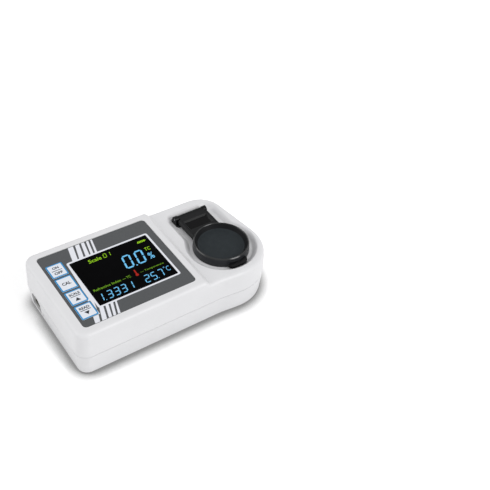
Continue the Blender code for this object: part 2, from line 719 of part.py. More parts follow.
def lower_shell():
    shell = case_block("lower_shell", footed(BASE, SPLIT_LOW), WHITE)
    lip_heights = (SPLIT_LOW - EMBED, SPLIT_LOW + LIP_HEIGHT)
    join(shell, loft("lip", [[(x, y, z) for x, y in case_outline(WALL - LIP_WALL)] for z in lip_heights]))
    cavity = [(WALL + LOWER_DRAFT, FLOOR_TOP), (WALL, SPLIT_LOW), (WALL, SPLIT_LOW + LIP_HEIGHT + OVERRUN)]
    cut(shell, case_block("lower_cavity", cavity))
    for i, place in enumerate(SCREW_PLACES):
        join(shell, rod(f"lower_boss_{i + 1}", place, BOSS_RADIUS, FLOOR_TOP - EMBED, SPLIT_LOW))
    for i, place in enumerate(SCREW_PLACES):
        low = BASE - OVERRUN
        cut(shell, rod(f"screw_well_{i + 1}", place, SCREW_HEAD_RADIUS + FIT_GAP, low, SCREW_SEAT))
        high = SPLIT_LOW + OVERRUN
        cut(shell, rod(f"lower_screw_hole_{i + 1}", place, SCREW_RADIUS + FIT_GAP, low, high))
    for i, place in enumerate(FOOT_PLACES):
        cut(
            shell,
            rod(f"foot_recess_{i + 1}", place, FOOT_RADIUS + FIT_GAP, BASE - OVERRUN, BASE + FOOT_SUNK),
        )
    build_bay(shell)
    width = SOCKET_WIDTH + 2 * PORT_CLEARANCE
    height = SOCKET_HEIGHT + 2 * PORT_CLEARANCE
    port = socket_outline(width, height, SOCKET_CHAMFER + PORT_CLEARANCE / 2)
    cut(shell, bar("port_cutter", port, LEFT - OVERRUN, INNER_LEFT + OVERRUN))
    hole = (SOCKET_Y - PIN_HOLE_FROM_SOCKET, BASE + PIN_HOLE_RISE)
    cut(shell, rod("pin_hole", hole, PIN_HOLE_RADIUS, LEFT - OVERRUN, INNER_LEFT + OVERRUN, along_x=True))
    return shell


def build_bay(shell):
    """The battery compartment: a box that opens downwards, with a ledge for its cover."""
    inner = (CELL_LENGTH + 2 * FIT_GAP, CELL_WIDTH + 2 * FIT_GAP)
    pad = (COVER_LENGTH + 2 * BAY_WALL, COVER_WIDTH + 2 * BAY_WALL)
    walls = (inner[0] + 2 * BAY_WALL, inner[1] + 2 * BAY_WALL)
    low = BASE - OVERRUN
    inside = BASE + EMBED
    join(
        shell, plate("bay_pad", BAY_CENTRE, *pad, inside, LEDGE + BAY_WALL, corner=COVER_CORNER + BAY_WALL)
    )
    join(shell, plate("bay_walls", BAY_CENTRE, *walls, inside, BAY_TOP + BAY_WALL, corner=CELL_CORNER))
    for i, place in enumerate(COVER_SCREWS):
        join(shell, rod(f"bay_boss_{i + 1}", place, BAY_BOSS_RADIUS, inside, LEDGE + BAY_BOSS_HEIGHT))
    rebate = (COVER_LENGTH + 2 * FIT_GAP, COVER_WIDTH + 2 * FIT_GAP)
    cut(shell, plate("cover_rebate", BAY_CENTRE, *rebate, low, LEDGE, corner=COVER_CORNER + FIT_GAP))
    cut(shell, plate("bay_cavity", BAY_CENTRE, *inner, low, BAY_TOP, corner=CELL_CORNER))
    side = BAY_CENTRE[1] + walls[1] / 2
    slot = (BAY_CENTRE[0], side)
    slot_depth = 2 * (BAY_WALL + OVERRUN)
    cut(shell, plate("lead_slot", slot, LEAD_SLOT, slot_depth, BAY_TOP - LEAD_SLOT, BAY_TOP))
    for i, place in enumerate(COVER_SCREWS):
        high = BASE + SMALL_SINK + SMALL_REACH + FIT_GAP
        cut(shell, rod(f"bay_hole_{i + 1}", place, SMALL_HOLE, low, high, segments=FINE_ROUND))


def battery():
    plate(
        "battery_pack", BAY_CENTRE, CELL_LENGTH, CELL_WIDTH, LEDGE, LEDGE + CELL_HEIGHT, CELL, CELL_CORNER
    )
    cover = plate(
        "battery_cover", BAY_CENTRE, COVER_LENGTH, COVER_WIDTH, BASE, COVER_TOP, WHITE, COVER_CORNER
    )
    for i, place in enumerate(COVER_SCREWS):
        low = BASE - OVERRUN
        cut(cover, rod(f"cover_sink_{i + 1}", place, SMALL_HEAD_HOLE, low, BASE + SMALL_SINK))
        cut(
            cover,
            rod(f"cover_hole_{i + 1}", place, SMALL_HOLE, low, COVER_TOP + OVERRUN, segments=FINE_ROUND),
        )
        small_screw(f"cover_screw_{i + 1}", place, BASE + SMALL_SINK)


def screw(name, place, seat, head_radius, head_height, radius, reach, upwards=True):
    """A slotted screw whose head bears on a face at the seat height; upwards means its tip points up."""
    way = 1 if upwards else -1
    shoulder = seat - way * FIT_GAP
    outer = shoulder - way * head_height
    tip = seat + way * reach
    profile = [(0, tip), (radius, tip), (radius, shoulder)]
    profile += [(head_radius, shoulder), (head_radius, outer), (0, outer)]
    item = turned(name, place, profile if upwards else profile[::-1], STEEL, FINE_ROUND)
    slot = sorted((outer - way * OVERRUN, outer + way * SLOT_DEPTH))
    length = 2 * (head_radius + OVERRUN)
    cut(item, plate(f"{name}_slot", place, length, SLOT_WIDTH, *slot))


def small_screw(name, place, seat, upwards=True):
    screw(name, place, seat, SMALL_HEAD_RADIUS, SMALL_HEAD_HEIGHT, SMALL_RADIUS, SMALL_REACH, upwards)


def feet_and_screws():
    for i, place in enumerate(FOOT_PLACES):
        top = BASE + FOOT_SUNK - FIT_GAP
        edge = FOOT_RADIUS - FOOT_EDGE
        profile = [(0, top), (FOOT_RADIUS, top), (FOOT_RADIUS, FOOT_EDGE), (edge, 0), (0, 0)]
        turned(f"foot_{i + 1}", place, profile, RUBBER)
    for i, place in enumerate(SCREW_PLACES):
        reach = SPLIT_HIGH + SCREW_REACH - SCREW_SEAT
        screw(
            f"case_screw_{i + 1}",
            place,
            SCREW_SEAT,
            SCREW_HEAD_RADIUS,
            SCREW_HEAD_HEIGHT,
            SCREW_RADIUS,
            reach,
        )
    for i, place in enumerate(POST_PLACES):
        small_screw(f"board_screw_{i + 1}", place, BOARD_BOTTOM)


def display():
    panel = plate(
        "overlay_panel", PANEL_CENTRE, PANEL_WIDTH, PANEL_DEPTH, PANEL_BOTTOM, PANEL_TOP, FILM, PANEL_CORNER
    )
    low = PANEL_BOTTOM - OVERRUN
    high = PANEL_TOP + OVERRUN
    width = WINDOW_WIDTH + 2 * FIT_GAP
    depth = WINDOW_DEPTH + 2 * FIT_GAP
    cut(panel, plate("window_hole", WINDOW_CENTRE, width, depth, low, high, corner=WINDOW_CORNER + FIT_GAP))
    cut(panel, *key_holes("key_window", low, high))
    plate(
        "display_window",
        WINDOW_CENTRE,
        WINDOW_WIDTH,
        WINDOW_DEPTH,
        PANEL_BOTTOM,
        PANEL_TOP,
        SCREEN,
        WINDOW_CORNER,
    )
    frame = plate("lcd_frame", WINDOW_CENTRE, LCD_WIDTH, LCD_DEPTH, LCD_BOTTOM, LCD_TOP, STEEL)
    inner = (LCD_WIDTH - 2 * LCD_RIM, LCD_DEPTH - 2 * LCD_RIM)
    cut(frame, plate("lcd_tray", WINDOW_CENTRE, *inner, LCD_BOTTOM + LCD_BACK, LCD_TOP + OVERRUN))
    filling = (inner[0] - 2 * FIT_GAP, inner[1] - 2 * FIT_GAP)
    light_bottom = LCD_BOTTOM + LCD_BACK + FIT_GAP
    light_top = LCD_TOP - GLASS_HEIGHT - FIT_GAP
    plate("lcd_backlight", WINDOW_CENTRE, *filling, light_bottom, light_top, DIFFUSER)
    plate("lcd_glass", WINDOW_CENTRE, *filling, LCD_TOP - GLASS_HEIGHT, LCD_TOP, SCREEN)


def main_board():
    centre = (PANEL_CENTRE[0], (BOARD_FRONT + BOARD_BACK) / 2)
    width = PANEL_WIDTH - 2 * BOARD_MARGIN
    depth = BOARD_BACK - BOARD_FRONT
    board = plate("main_board", centre, width, depth, BOARD_BOTTOM, BOARD_TOP, BOARD, BOARD_CORNER)
    for i, place in enumerate(POST_PLACES):
        low = BOARD_BOTTOM - OVERRUN
        cut(
            board,
            rod(f"board_hole_{i + 1}", place, SMALL_HOLE, low, BOARD_TOP + OVERRUN, segments=FINE_ROUND),
        )


def keys():
    for i, name in enumerate(KEY_NAMES):
        centre = key_centre(i)
        inside = FLANGE_BOTTOM + KEY_FLANGE_HEIGHT / 2
        key = plate(f"key_{name}", centre, KEY_WIDTH, KEY_DEPTH, inside, DECK_HEIGHT, KEY_FACE, KEY_CORNER)
        flange = (KEY_WIDTH + 2 * KEY_FLANGE, KEY_DEPTH + 2 * KEY_FLANGE)
        join(key, plate(f"key_{name}_flange", centre, *flange, FLANGE_BOTTOM, FLANGE_TOP))
        pivot(f"key_{name}_slide", (*centre, DECK_HEIGHT), key)
        body_top = PLUNGER_TOP - PLUNGER_HEIGHT
        low = BOARD_TOP + FIT_GAP
        switch = plate(
            f"switch_{name}", centre, SWITCH_SIZE, SWITCH_SIZE, low, body_top, PLASTIC, SWITCH_CORNER
        )
        plunger = rod(
            f"plunger_{name}", centre, PLUNGER_RADIUS, body_top - EMBED, PLUNGER_TOP, segments=FINE_ROUND
        )
        join(switch, plunger)


def socket_outline(width, height, chamfer):
    """A square-bodied socket's (y, z) outline with its two upper corners cut off."""
    y, z = SOCKET_PLACE
    half = width / 2
    low, high = z - height / 2, z + height / 2
    return [
        (y - half, low),
        (y + half, low),
        (y + half, high - chamfer),
        (y + half - chamfer, high),
        (y - half + chamfer, high),
        (y - half, high - chamfer),
    ]


def socket():
    outline = socket_outline(SOCKET_WIDTH, SOCKET_HEIGHT, SOCKET_CHAMFER)
    shell = bar("usb_socket_shell", outline, SOCKET_MOUTH, SOCKET_MOUTH + SOCKET_DEPTH, PLASTIC)
    width = SOCKET_WIDTH - 2 * SOCKET_WALL
    height = SOCKET_HEIGHT - 2 * SOCKET_WALL
    inner = socket_outline(width, height, SOCKET_CHAMFER - SOCKET_WALL / 2)
    cavity_end = SOCKET_MOUTH + SOCKET_CAVITY
    cut(shell, bar("socket_cavity", inner, SOCKET_MOUTH - OVERRUN, cavity_end))
    y, z = SOCKET_PLACE
    low = (SOCKET_MOUTH + TONGUE_SETBACK, y - TONGUE_WIDTH / 2, z - TONGUE_HEIGHT / 2)
    high = (cavity_end - FIT_GAP, y + TONGUE_WIDTH / 2, z + TONGUE_HEIGHT / 2)
    box("usb_socket_tongue", low, high, DIFFUSER)
    start = INNER_LEFT + FIT_GAP
    low = (start, y - SOCKET_BOARD_WIDTH / 2, SOCKET_BOARD_BOTTOM)
    high = (start + SOCKET_BOARD_LENGTH, y + SOCKET_BOARD_WIDTH / 2, SOCKET_BOTTOM - FIT_GAP)
    box("socket_board", low, high, BOARD)


def lid():
    slope = LID_RADIUS - LID_RIM
    foot = LID_RADIUS + LID_TAPER
    profile = [
        (0, LID_FLOOR),
        (LID_DISH_RADIUS, LID_FLOOR),
        (slope, DECK_HEIGHT - LID_EDGE / 2),
        (slope + LID_EDGE / 2, DECK_HEIGHT),
        (LID_RADIUS - LID_EDGE, DECK_HEIGHT),
        (LID_RADIUS, DECK_HEIGHT - LID_EDGE),
        (foot, LID_BOTTOM),
        (foot - LID_SKIRT, LID_BOTTOM),
        (foot - LID_SKIRT, LID_UNDER),
        (0, LID_UNDER),
    ]
    cover = turned("lid", LID_CENTRE, profile, BLACK, LID_ROUND)
    barrel = (HINGE.y, HINGE.z)
    barrel_ends = (HINGE.x - BARREL_LENGTH / 2, HINGE.x + BARREL_LENGTH / 2)
    tongue_low = (barrel_ends[0], ARM_END - EMBED, HINGE.z - ARM_DEPTH)
    tongue_high = (barrel_ends[1], HINGE.y, HINGE.z + ARM_DEPTH)
    join(cover, lid_arm(), box("hinge_tongue", tongue_low, tongue_high), lid_tab())
    join(cover, rod("hinge_barrel", barrel, BARREL_RADIUS, *barrel_ends, along_x=True))
    pin_run = (barrel_ends[0] - OVERRUN, barrel_ends[1] + OVERRUN)
    cut(cover, rod("barrel_bore", barrel, PIN_RADIUS + FIT_GAP, *pin_run, along_x=True))
    bottom = LID_FLOOR + FIT_GAP
    radius = LID_DISH_RADIUS - FIT_GAP
    inlay = rod(
        "lid_inlay", LID_CENTRE, radius, bottom, bottom + INLAY_THICKNESS, INLAY, segments=LID_ROUND
    )
    outer, top = GASKET_RADIUS, LID_UNDER - FIT_GAP
    inner, bottom = outer - GASKET_WIDTH, top - GASKET_HEIGHT
    ring = [(outer, top), (outer, bottom), (inner, bottom), (inner, top)]
    gasket = turned("lid_gasket", LID_CENTRE, ring, RUBBER)
    pivot("lid_axis", HINGE, cover, inlay, gasket)


def lid_arm():
    """The arm from the disc back to the hinge: chamfered sides and a sunk panel between two rails."""
    start = LID_CENTRE[1]
    half = ARM_WIDTH / 2
    rings = []
    inner = half - ARM_CHAMFER
    for x, step in ((-half, ARM_CHAMFER), (-inner, 0), (inner, 0), (half, ARM_CHAMFER)):
        low, high = HINGE.z - ARM_DEPTH + step, HINGE.z + ARM_DEPTH - step
        corners = ((start, low), (ARM_END - step, low), (ARM_END - step, high), (start, high))
        rings.append([(HINGE.x + x, y, z) for y, z in corners])
    arm = loft("lid_arm", rings)
    cut(
        arm,
        rod("arm_front", LID_CENTRE, LID_RADIUS - LID_EDGE, LID_BOTTOM, DECK_HEIGHT, segments=LID_ROUND),
    )
    floor = HINGE.z + ARM_DEPTH - ARM_DISH
    top = HINGE.z + ARM_DEPTH + OVERRUN
    near = LID_CENTRE[1] + LID_RADIUS + ARM_DISH_START
    rows = []
    for height, slope in ((floor, ARM_SLOPE), (HINGE.z + ARM_DEPTH, 0), (top, 0)):
        reach = half - ARM_RAIL - slope
        back = ARM_END - ARM_RAIL - slope
        corners = ((-reach, near + slope), (reach, near + slope), (reach, back), (-reach, back))
        rows.append([(HINGE.x + x, y, height) for x, y in corners])
    cut(arm, loft("arm_dish", rows))
    return arm


def lid_tab():
    """The finger tab low on the front of the disc."""
    front = LID_CENTRE[1] - LID_RADIUS - TAB_REACH
    low = (LID_CENTRE[0] - TAB_WIDTH / 2, front, LID_BOTTOM + TAB_LIFT)
    high = (LID_CENTRE[0] + TAB_WIDTH / 2, LID_CENTRE[1], LID_BOTTOM + TAB_LIFT + TAB_THICKNESS)
    tab = box("lid_tab", low, high, corner=TAB_CORNER)
    cut(
        tab, rod("tab_back", LID_CENTRE, LID_RADIUS - LID_EDGE, LID_BOTTOM, DECK_HEIGHT, segments=LID_ROUND)
    )
    return tab


def hinge():
    front, back, width = bracket_span()
    centre = (HINGE.x, (front + back) / 2)
    low = BRACKET_SEAT + FIT_GAP
    bracket = plate("hinge_bracket", centre, width, back - front, low, BRACKET_TOP, BLACK, BRACKET_CORNER)
    foot = BRACKET_TOP - BRACKET_PLATE / 2
    half = EAR_DEPTH / 2
    outline = [(HINGE.y - half, foot), (HINGE.y + half, foot)]
    outline += arc((HINGE.y, HINGE.z), EAR_RADIUS, 0, pi, ROUND // 2)
    for side, name in ((-1, "left"), (1, "right")):
        ends = sorted((HINGE.x + side * EAR_START, HINGE.x + side * EAR_END))
        join(bracket, bar(f"ear_{name}", outline, *ends))
    axis = (HINGE.y, HINGE.z)
    run = (HINGE.x - EAR_END - OVERRUN, HINGE.x + EAR_END + OVERRUN)
    cut(bracket, rod("ear_bore", axis, PIN_RADIUS + FIT_GAP, *run, along_x=True))
    seat = BRACKET_TOP - SMALL_SINK
    for i, place in enumerate(BRACKET_SCREWS):
        high = BRACKET_TOP + OVERRUN
        cut(bracket, rod(f"bracket_sink_{i + 1}", place, SMALL_HEAD_HOLE, seat, high))
        cut(
            bracket,
            rod(f"bracket_bore_{i + 1}", place, SMALL_HOLE, low - OVERRUN, high, segments=FINE_ROUND),
        )
        small_screw(f"hinge_screw_{i + 1}", place, seat, upwards=False)
    ends = (HINGE.x - EAR_END + FIT_GAP, HINGE.x + EAR_END - FIT_GAP)
    rod("hinge_pin", axis, PIN_RADIUS, *ends, STEEL, along_x=True, segments=FINE_ROUND)


def sample_plate():
    hole = PRISM_RADIUS + FIT_GAP
    profile = [
        (PLATE_RADIUS, PLATE_TOP),
        (PLATE_RADIUS, PLATE_BOTTOM),
        (DISH_RADIUS, PLATE_BOTTOM),
        (DISH_FLOOR, PLATE_BOTTOM - DISH_DEPTH),
        (hole, PLATE_BOTTOM - DISH_DEPTH),
        (hole, PLATE_TOP - DISH_DEPTH),
        (DISH_FLOOR, PLATE_TOP - DISH_DEPTH),
        (DISH_RADIUS, PLATE_TOP),
    ]
    turned("sample_plate", LID_CENTRE, profile, STEEL, LID_ROUND)
    x, y = LID_CENTRE
    shoulder = PRISM_TOP - PRISM_CAP
    rings = []
    for length, height in ((PRISM_FOOT, PRISM_TOP - PRISM_HEIGHT), (PRISM_LENGTH, shoulder)):
        corners = ((-1, -1), (1, -1), (1, 1), (-1, 1))
        rings.append([(x + a * length / 2, y + b * PRISM_WIDTH / 2, height) for a, b in corners])
    prism = loft("prism", rings, GLASS)
    join(prism, rod("prism_cap", LID_CENTRE, PRISM_RADIUS, shoulder - EMBED, PRISM_TOP))
    inner, bottom = PRISM_RADIUS + FIT_GAP, shoulder + FIT_GAP
    outer, top = inner + SEAL_WIDTH, bottom + SEAL_HEIGHT
    turned("prism_seal", LID_CENTRE, [(outer, top), (outer, bottom), (inner, bottom), (inner, top)], RUBBER)


def optics():
    x, y = LID_CENTRE
    housing = plate(
        "optics_housing",
        LID_CENTRE,
        OPTICS_LENGTH,
        OPTICS_WIDTH,
        OPTICS_BOTTOM,
        OPTICS_TOP,
        PLASTIC,
        OPTICS_CORNER,
    )
    lug_low = OPTICS_TOP - OPTICS_LUG_HEIGHT
    span = OPTICS_WIDTH + 2 * OPTICS_LUG
    join(
        housing,
        plate("optics_lugs", LID_CENTRE, 2 * OPTICS_LUG, span, lug_low, OPTICS_TOP, corner=OPTICS_CORNER),
    )
    half_width, half_height = TUNNEL_WIDTH / 2, TUNNEL_HEIGHT / 2
    tunnel_low = (OPTICS_LEFT + TUNNEL_WALL, y - half_width, TUNNEL_Z - half_height)
    tunnel_high = (OPTICS_RIGHT + OVERRUN, y + half_width, TUNNEL_Z + half_height)
    cut(housing, box("optics_tunnel", tunnel_low, tunnel_high))
    prism_hole = (PRISM_LENGTH + 2 * FIT_GAP, PRISM_WIDTH + 2 * FIT_GAP)
    cut(housing, plate("prism_hole", LID_CENTRE, *prism_hole, TUNNEL_Z, OPTICS_TOP + OVERRUN))
    seal_radius = PRISM_RADIUS + SEAL_WIDTH + 2 * FIT_GAP
    seal_floor = PRISM_TOP - PRISM_CAP - EMBED - FIT_GAP
    cut(housing, rod("seal_pocket", LID_CENTRE, seal_radius, seal_floor, OPTICS_TOP + OVERRUN))
    bore_run = (OPTICS_LEFT - OVERRUN, OPTICS_LEFT + TUNNEL_WALL + OVERRUN)
    axis = (y, TUNNEL_Z)
    cut(housing, rod("led_bore", axis, LED_RADIUS + FIT_GAP, *bore_run, along_x=True))
    probe = (x, y + (DISH_RADIUS + FIT_GAP + seal_radius) / 2)
    probe_top = OPTICS_TOP + PROBE_RISE
    probe_low = probe_top - PROBE_LENGTH
    cut(
        housing, rod("probe_bore", probe, PROBE_RADIUS + FIT_GAP, probe_low - FIT_GAP, OPTICS_TOP + OVERRUN)
    )
    rod("temperature_probe", probe, PROBE_RADIUS, probe_low, probe_top, STEEL, segments=FINE_ROUND)
    for i, place in enumerate(LUG_PLACES):
        low = lug_low - OVERRUN
        cut(
            housing,
            rod(f"lug_hole_{i + 1}", place, SMALL_HOLE, low, OPTICS_TOP + OVERRUN, segments=FINE_ROUND),
        )
        small_screw(f"optics_screw_{i + 1}", place, lug_low)
    optics_inside(axis)


def optics_inside(axis):
    """Light source, lens and line sensor along the housing's tunnel."""
    x, y = LID_CENTRE
    flange_end = OPTICS_LEFT - FIT_GAP
    led = rod(
        "led_emitter", axis, LED_RADIUS, flange_end - EMBED, flange_end + LED_LENGTH, GLASS, along_x=True
    )
    flange = rod(
        "led_flange",
        axis,
        LED_RADIUS + LED_FLANGE,
        flange_end - LED_FLANGE_HEIGHT,
        flange_end,
        along_x=True,
    )
    join(led, flange)
    rings = []
    for side, shares in ((-1, LENS_SHARES), (1, LENS_SHARES[::-1])):
        for radius_share, crown_share in shares:
            place = x + LENS_FROM_PRISM + side * (LENS_EDGE / 2 + LENS_CROWN * crown_share)
            circle = arc(axis, LENS_RADIUS * radius_share, 0, 2 * pi, ROUND)[:-1]
            rings.append([(place, a, b) for a, b in circle])
    loft("lens", rings, GLASS)
    board_start = OPTICS_RIGHT + FIT_GAP
    half_width, half_height = SENSOR_BOARD_WIDTH / 2, SENSOR_BOARD_HEIGHT / 2
    low = (board_start, y - half_width, TUNNEL_Z - half_height)
    high = (board_start + SENSOR_BOARD_THICKNESS, y + half_width, TUNNEL_Z + half_height)
    box("sensor_board", low, high, BOARD)
    chip_end = board_start - FIT_GAP
    low = (chip_end - CHIP_HEIGHT, y - CHIP_LENGTH / 2, TUNNEL_Z - CHIP_WIDTH / 2)
    high = (chip_end, y + CHIP_LENGTH / 2, TUNNEL_Z + CHIP_WIDTH / 2)
    box("line_sensor", low, high, PLASTIC)


clear_scene()
parts = collection("digital_refractometer")
helpers = collection("helpers")
upper_shell()
lower_shell()
battery()
feet_and_screws()
display()
main_board()
keys()
socket()
lid()
hinge()
sample_plate()
optics()
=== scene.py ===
# Bench refractometer: white two part case, grey front panel with a colour screen and four keys,
# and a round black lid that opens over the sample plate and its prism.
import math

import bpy
import numpy as np
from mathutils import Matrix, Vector


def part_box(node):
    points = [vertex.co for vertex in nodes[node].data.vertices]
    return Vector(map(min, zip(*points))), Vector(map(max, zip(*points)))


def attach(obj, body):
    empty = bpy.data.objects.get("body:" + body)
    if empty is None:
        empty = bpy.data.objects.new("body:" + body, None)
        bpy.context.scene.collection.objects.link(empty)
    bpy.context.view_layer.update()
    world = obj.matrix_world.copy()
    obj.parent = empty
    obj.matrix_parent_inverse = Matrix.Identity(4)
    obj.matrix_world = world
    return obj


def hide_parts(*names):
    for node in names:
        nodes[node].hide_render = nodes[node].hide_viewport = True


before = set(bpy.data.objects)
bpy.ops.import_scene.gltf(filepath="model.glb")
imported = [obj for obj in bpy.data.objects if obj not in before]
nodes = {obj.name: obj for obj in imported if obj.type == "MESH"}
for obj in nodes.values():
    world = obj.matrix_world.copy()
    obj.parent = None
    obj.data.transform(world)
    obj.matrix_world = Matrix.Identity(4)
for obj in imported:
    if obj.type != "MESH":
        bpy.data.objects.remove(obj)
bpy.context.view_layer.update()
mm = 0.001
print("frame loaded:", len(nodes), "nodes")

# camera, lamps and floor

cameraSetup = {
    "place": (-0.20811, -0.35169, 0.42499),  # metres
    "turn": (47.588, -4.529, -35.353),  # degrees
    "lens": 57.808,  # mm
    "sensor": 36.0,  # mm
    "nearest": 0.01,  # metres
}

lightSetup = {
    "ambient": 0.68,  # what the surroundings give to the object
    "shown": 1.0,  # what the camera, gloss and glass see of them
    "lamps": [
        # name, strength, soft angle in degrees, the side that it shines from
        ("frontLamp", 1.15, 28.0, (0.34, -0.76, 0.55)),
        ("sideLamp", 0.72, 40.0, (-0.80, 0.45, 0.40)),
    ],
}

floorSetup = {
    "reach": 4.0,  # metres from the middle to each side
    "lift": 0.25,  # light that the seen bench adds of its own
    "bounce": 0.85,  # how pale the bench is to light that goes on to the object
    "near": 0.0115,  # how far from the case the bench darkens, metres
    "closed": (0.50, 0.03),  # share of open sky, and how pale the seen bench is there
    "open": (0.94, 0.98),
}


def linear(colour):
    # a 0 to 255 screen colour as the linear value that the shader wants
    c = np.asarray(colour, float) / 255
    return np.where(c <= 0.04045, c / 12.92, ((c + 0.055) / 1.055) ** 2.4)


def setRamp(ramp, low, high):
    # each end: its position, and its colour or grey level
    for element, (position, colour) in zip(ramp.color_ramp.elements, (low, high)):
        element.position = position
        element.color = (*np.broadcast_to(colour, 3), 1.0)


def emptied(block):
    # the node tree of a material or world, with nothing in it
    block.use_nodes = True
    block.node_tree.nodes.clear()
    return block.node_tree


def addCamera(setup):
    data = bpy.data.cameras.new("benchCamera")
    data.lens = setup["lens"]
    data.sensor_width = setup["sensor"]
    data.clip_start = setup["nearest"]
    camera = bpy.data.objects.new("benchCamera", data)
    camera.location = setup["place"]
    camera.rotation_euler = [math.radians(a) for a in setup["turn"]]
    bpy.context.scene.collection.objects.link(camera)
    bpy.context.scene.camera = camera


def seenRay(tree):
    # 1 for rays from the camera, off gloss or through glass, 0 for the rest
    path = tree.nodes.new("ShaderNodeLightPath")
    first = tree.nodes.new("ShaderNodeMath")
    second = tree.nodes.new("ShaderNodeMath")
    first.operation = second.operation = "MAXIMUM"
    tree.links.new(path.outputs["Is Camera Ray"], first.inputs[0])
    tree.links.new(path.outputs["Is Glossy Ray"], first.inputs[1])
    tree.links.new(first.outputs[0], second.inputs[0])
    tree.links.new(path.outputs["Is Transmission Ray"], second.inputs[1])
    return second.outputs[0]


def addSurroundings(setup):
    world = bpy.data.worlds.new("paleRoom")
    bpy.context.scene.world = world
    tree = emptied(world)
    output = tree.nodes.new("ShaderNodeOutputWorld")
    sky = tree.nodes.new("ShaderNodeBackground")
    level = tree.nodes.new("ShaderNodeMapRange")
    level.inputs["To Min"].default_value = setup["ambient"]
    level.inputs["To Max"].default_value = setup["shown"]
    tree.links.new(seenRay(tree), level.inputs["Value"])
    tree.links.new(level.outputs["Result"], sky.inputs["Strength"])
    sky.inputs["Color"].default_value = (1.0, 1.0, 1.0, 1.0)
    tree.links.new(sky.outputs[0], output.inputs["Surface"])
    for name, strength, soft, side in setup["lamps"]:
        lamp = bpy.data.lights.new(name, "SUN")
        lamp.energy = strength
        lamp.angle = math.radians(soft)
        obj = bpy.data.objects.new(name, lamp)
        obj.rotation_euler = Vector(side).to_track_quat("Z", "Y").to_euler()
        bpy.context.scene.collection.objects.link(obj)


def addFloor(setup):
    reach = setup["reach"]
    mesh = bpy.data.meshes.new("benchFloor")
    corners = [(-reach, -reach, 0), (reach, -reach, 0), (reach, reach, 0), (-reach, reach, 0)]
    mesh.from_pydata(corners, [], [(0, 1, 2, 3)])
    floor = bpy.data.objects.new("benchFloor", mesh)
    bpy.context.scene.collection.objects.link(floor)
    material = bpy.data.materials.new("paleBench")
    tree = emptied(material)
    output = tree.nodes.new("ShaderNodeOutputMaterial")
    seen = tree.nodes.new("ShaderNodeBsdfDiffuse")
    # the shadow right beside the case: the bench darkens where the case closes it in
    closeness = tree.nodes.new("ShaderNodeAmbientOcclusion")
    closeness.inputs["Distance"].default_value = setup["near"]
    fade = tree.nodes.new("ShaderNodeValToRGB")
    setRamp(fade, setup["closed"], setup["open"])
    tree.links.new(closeness.outputs["AO"], fade.inputs["Fac"])
    tree.links.new(fade.outputs["Color"], seen.inputs["Color"])
    lift = tree.nodes.new("ShaderNodeEmission")
    lift.inputs["Strength"].default_value = setup["lift"]
    both = tree.nodes.new("ShaderNodeAddShader")
    bounce = tree.nodes.new("ShaderNodeBsdfDiffuse")
    bounce.inputs["Color"].default_value = (setup["bounce"],) * 3 + (1.0,)
    pick = tree.nodes.new("ShaderNodeMixShader")
    tree.links.new(seen.outputs[0], both.inputs[0])
    tree.links.new(lift.outputs[0], both.inputs[1])
    tree.links.new(seenRay(tree), pick.inputs[0])
    tree.links.new(bounce.outputs[0], pick.inputs[1])
    tree.links.new(both.outputs[0], pick.inputs[2])
    tree.links.new(pick.outputs[0], output.inputs["Surface"])
    mesh.materials.append(material)


bpy.context.scene.view_settings.view_transform = "Standard"
addCamera(cameraSetup)
addSurroundings(lightSetup)
addFloor(floorSetup)
print("camera, lamps and floor ready")

# finishes

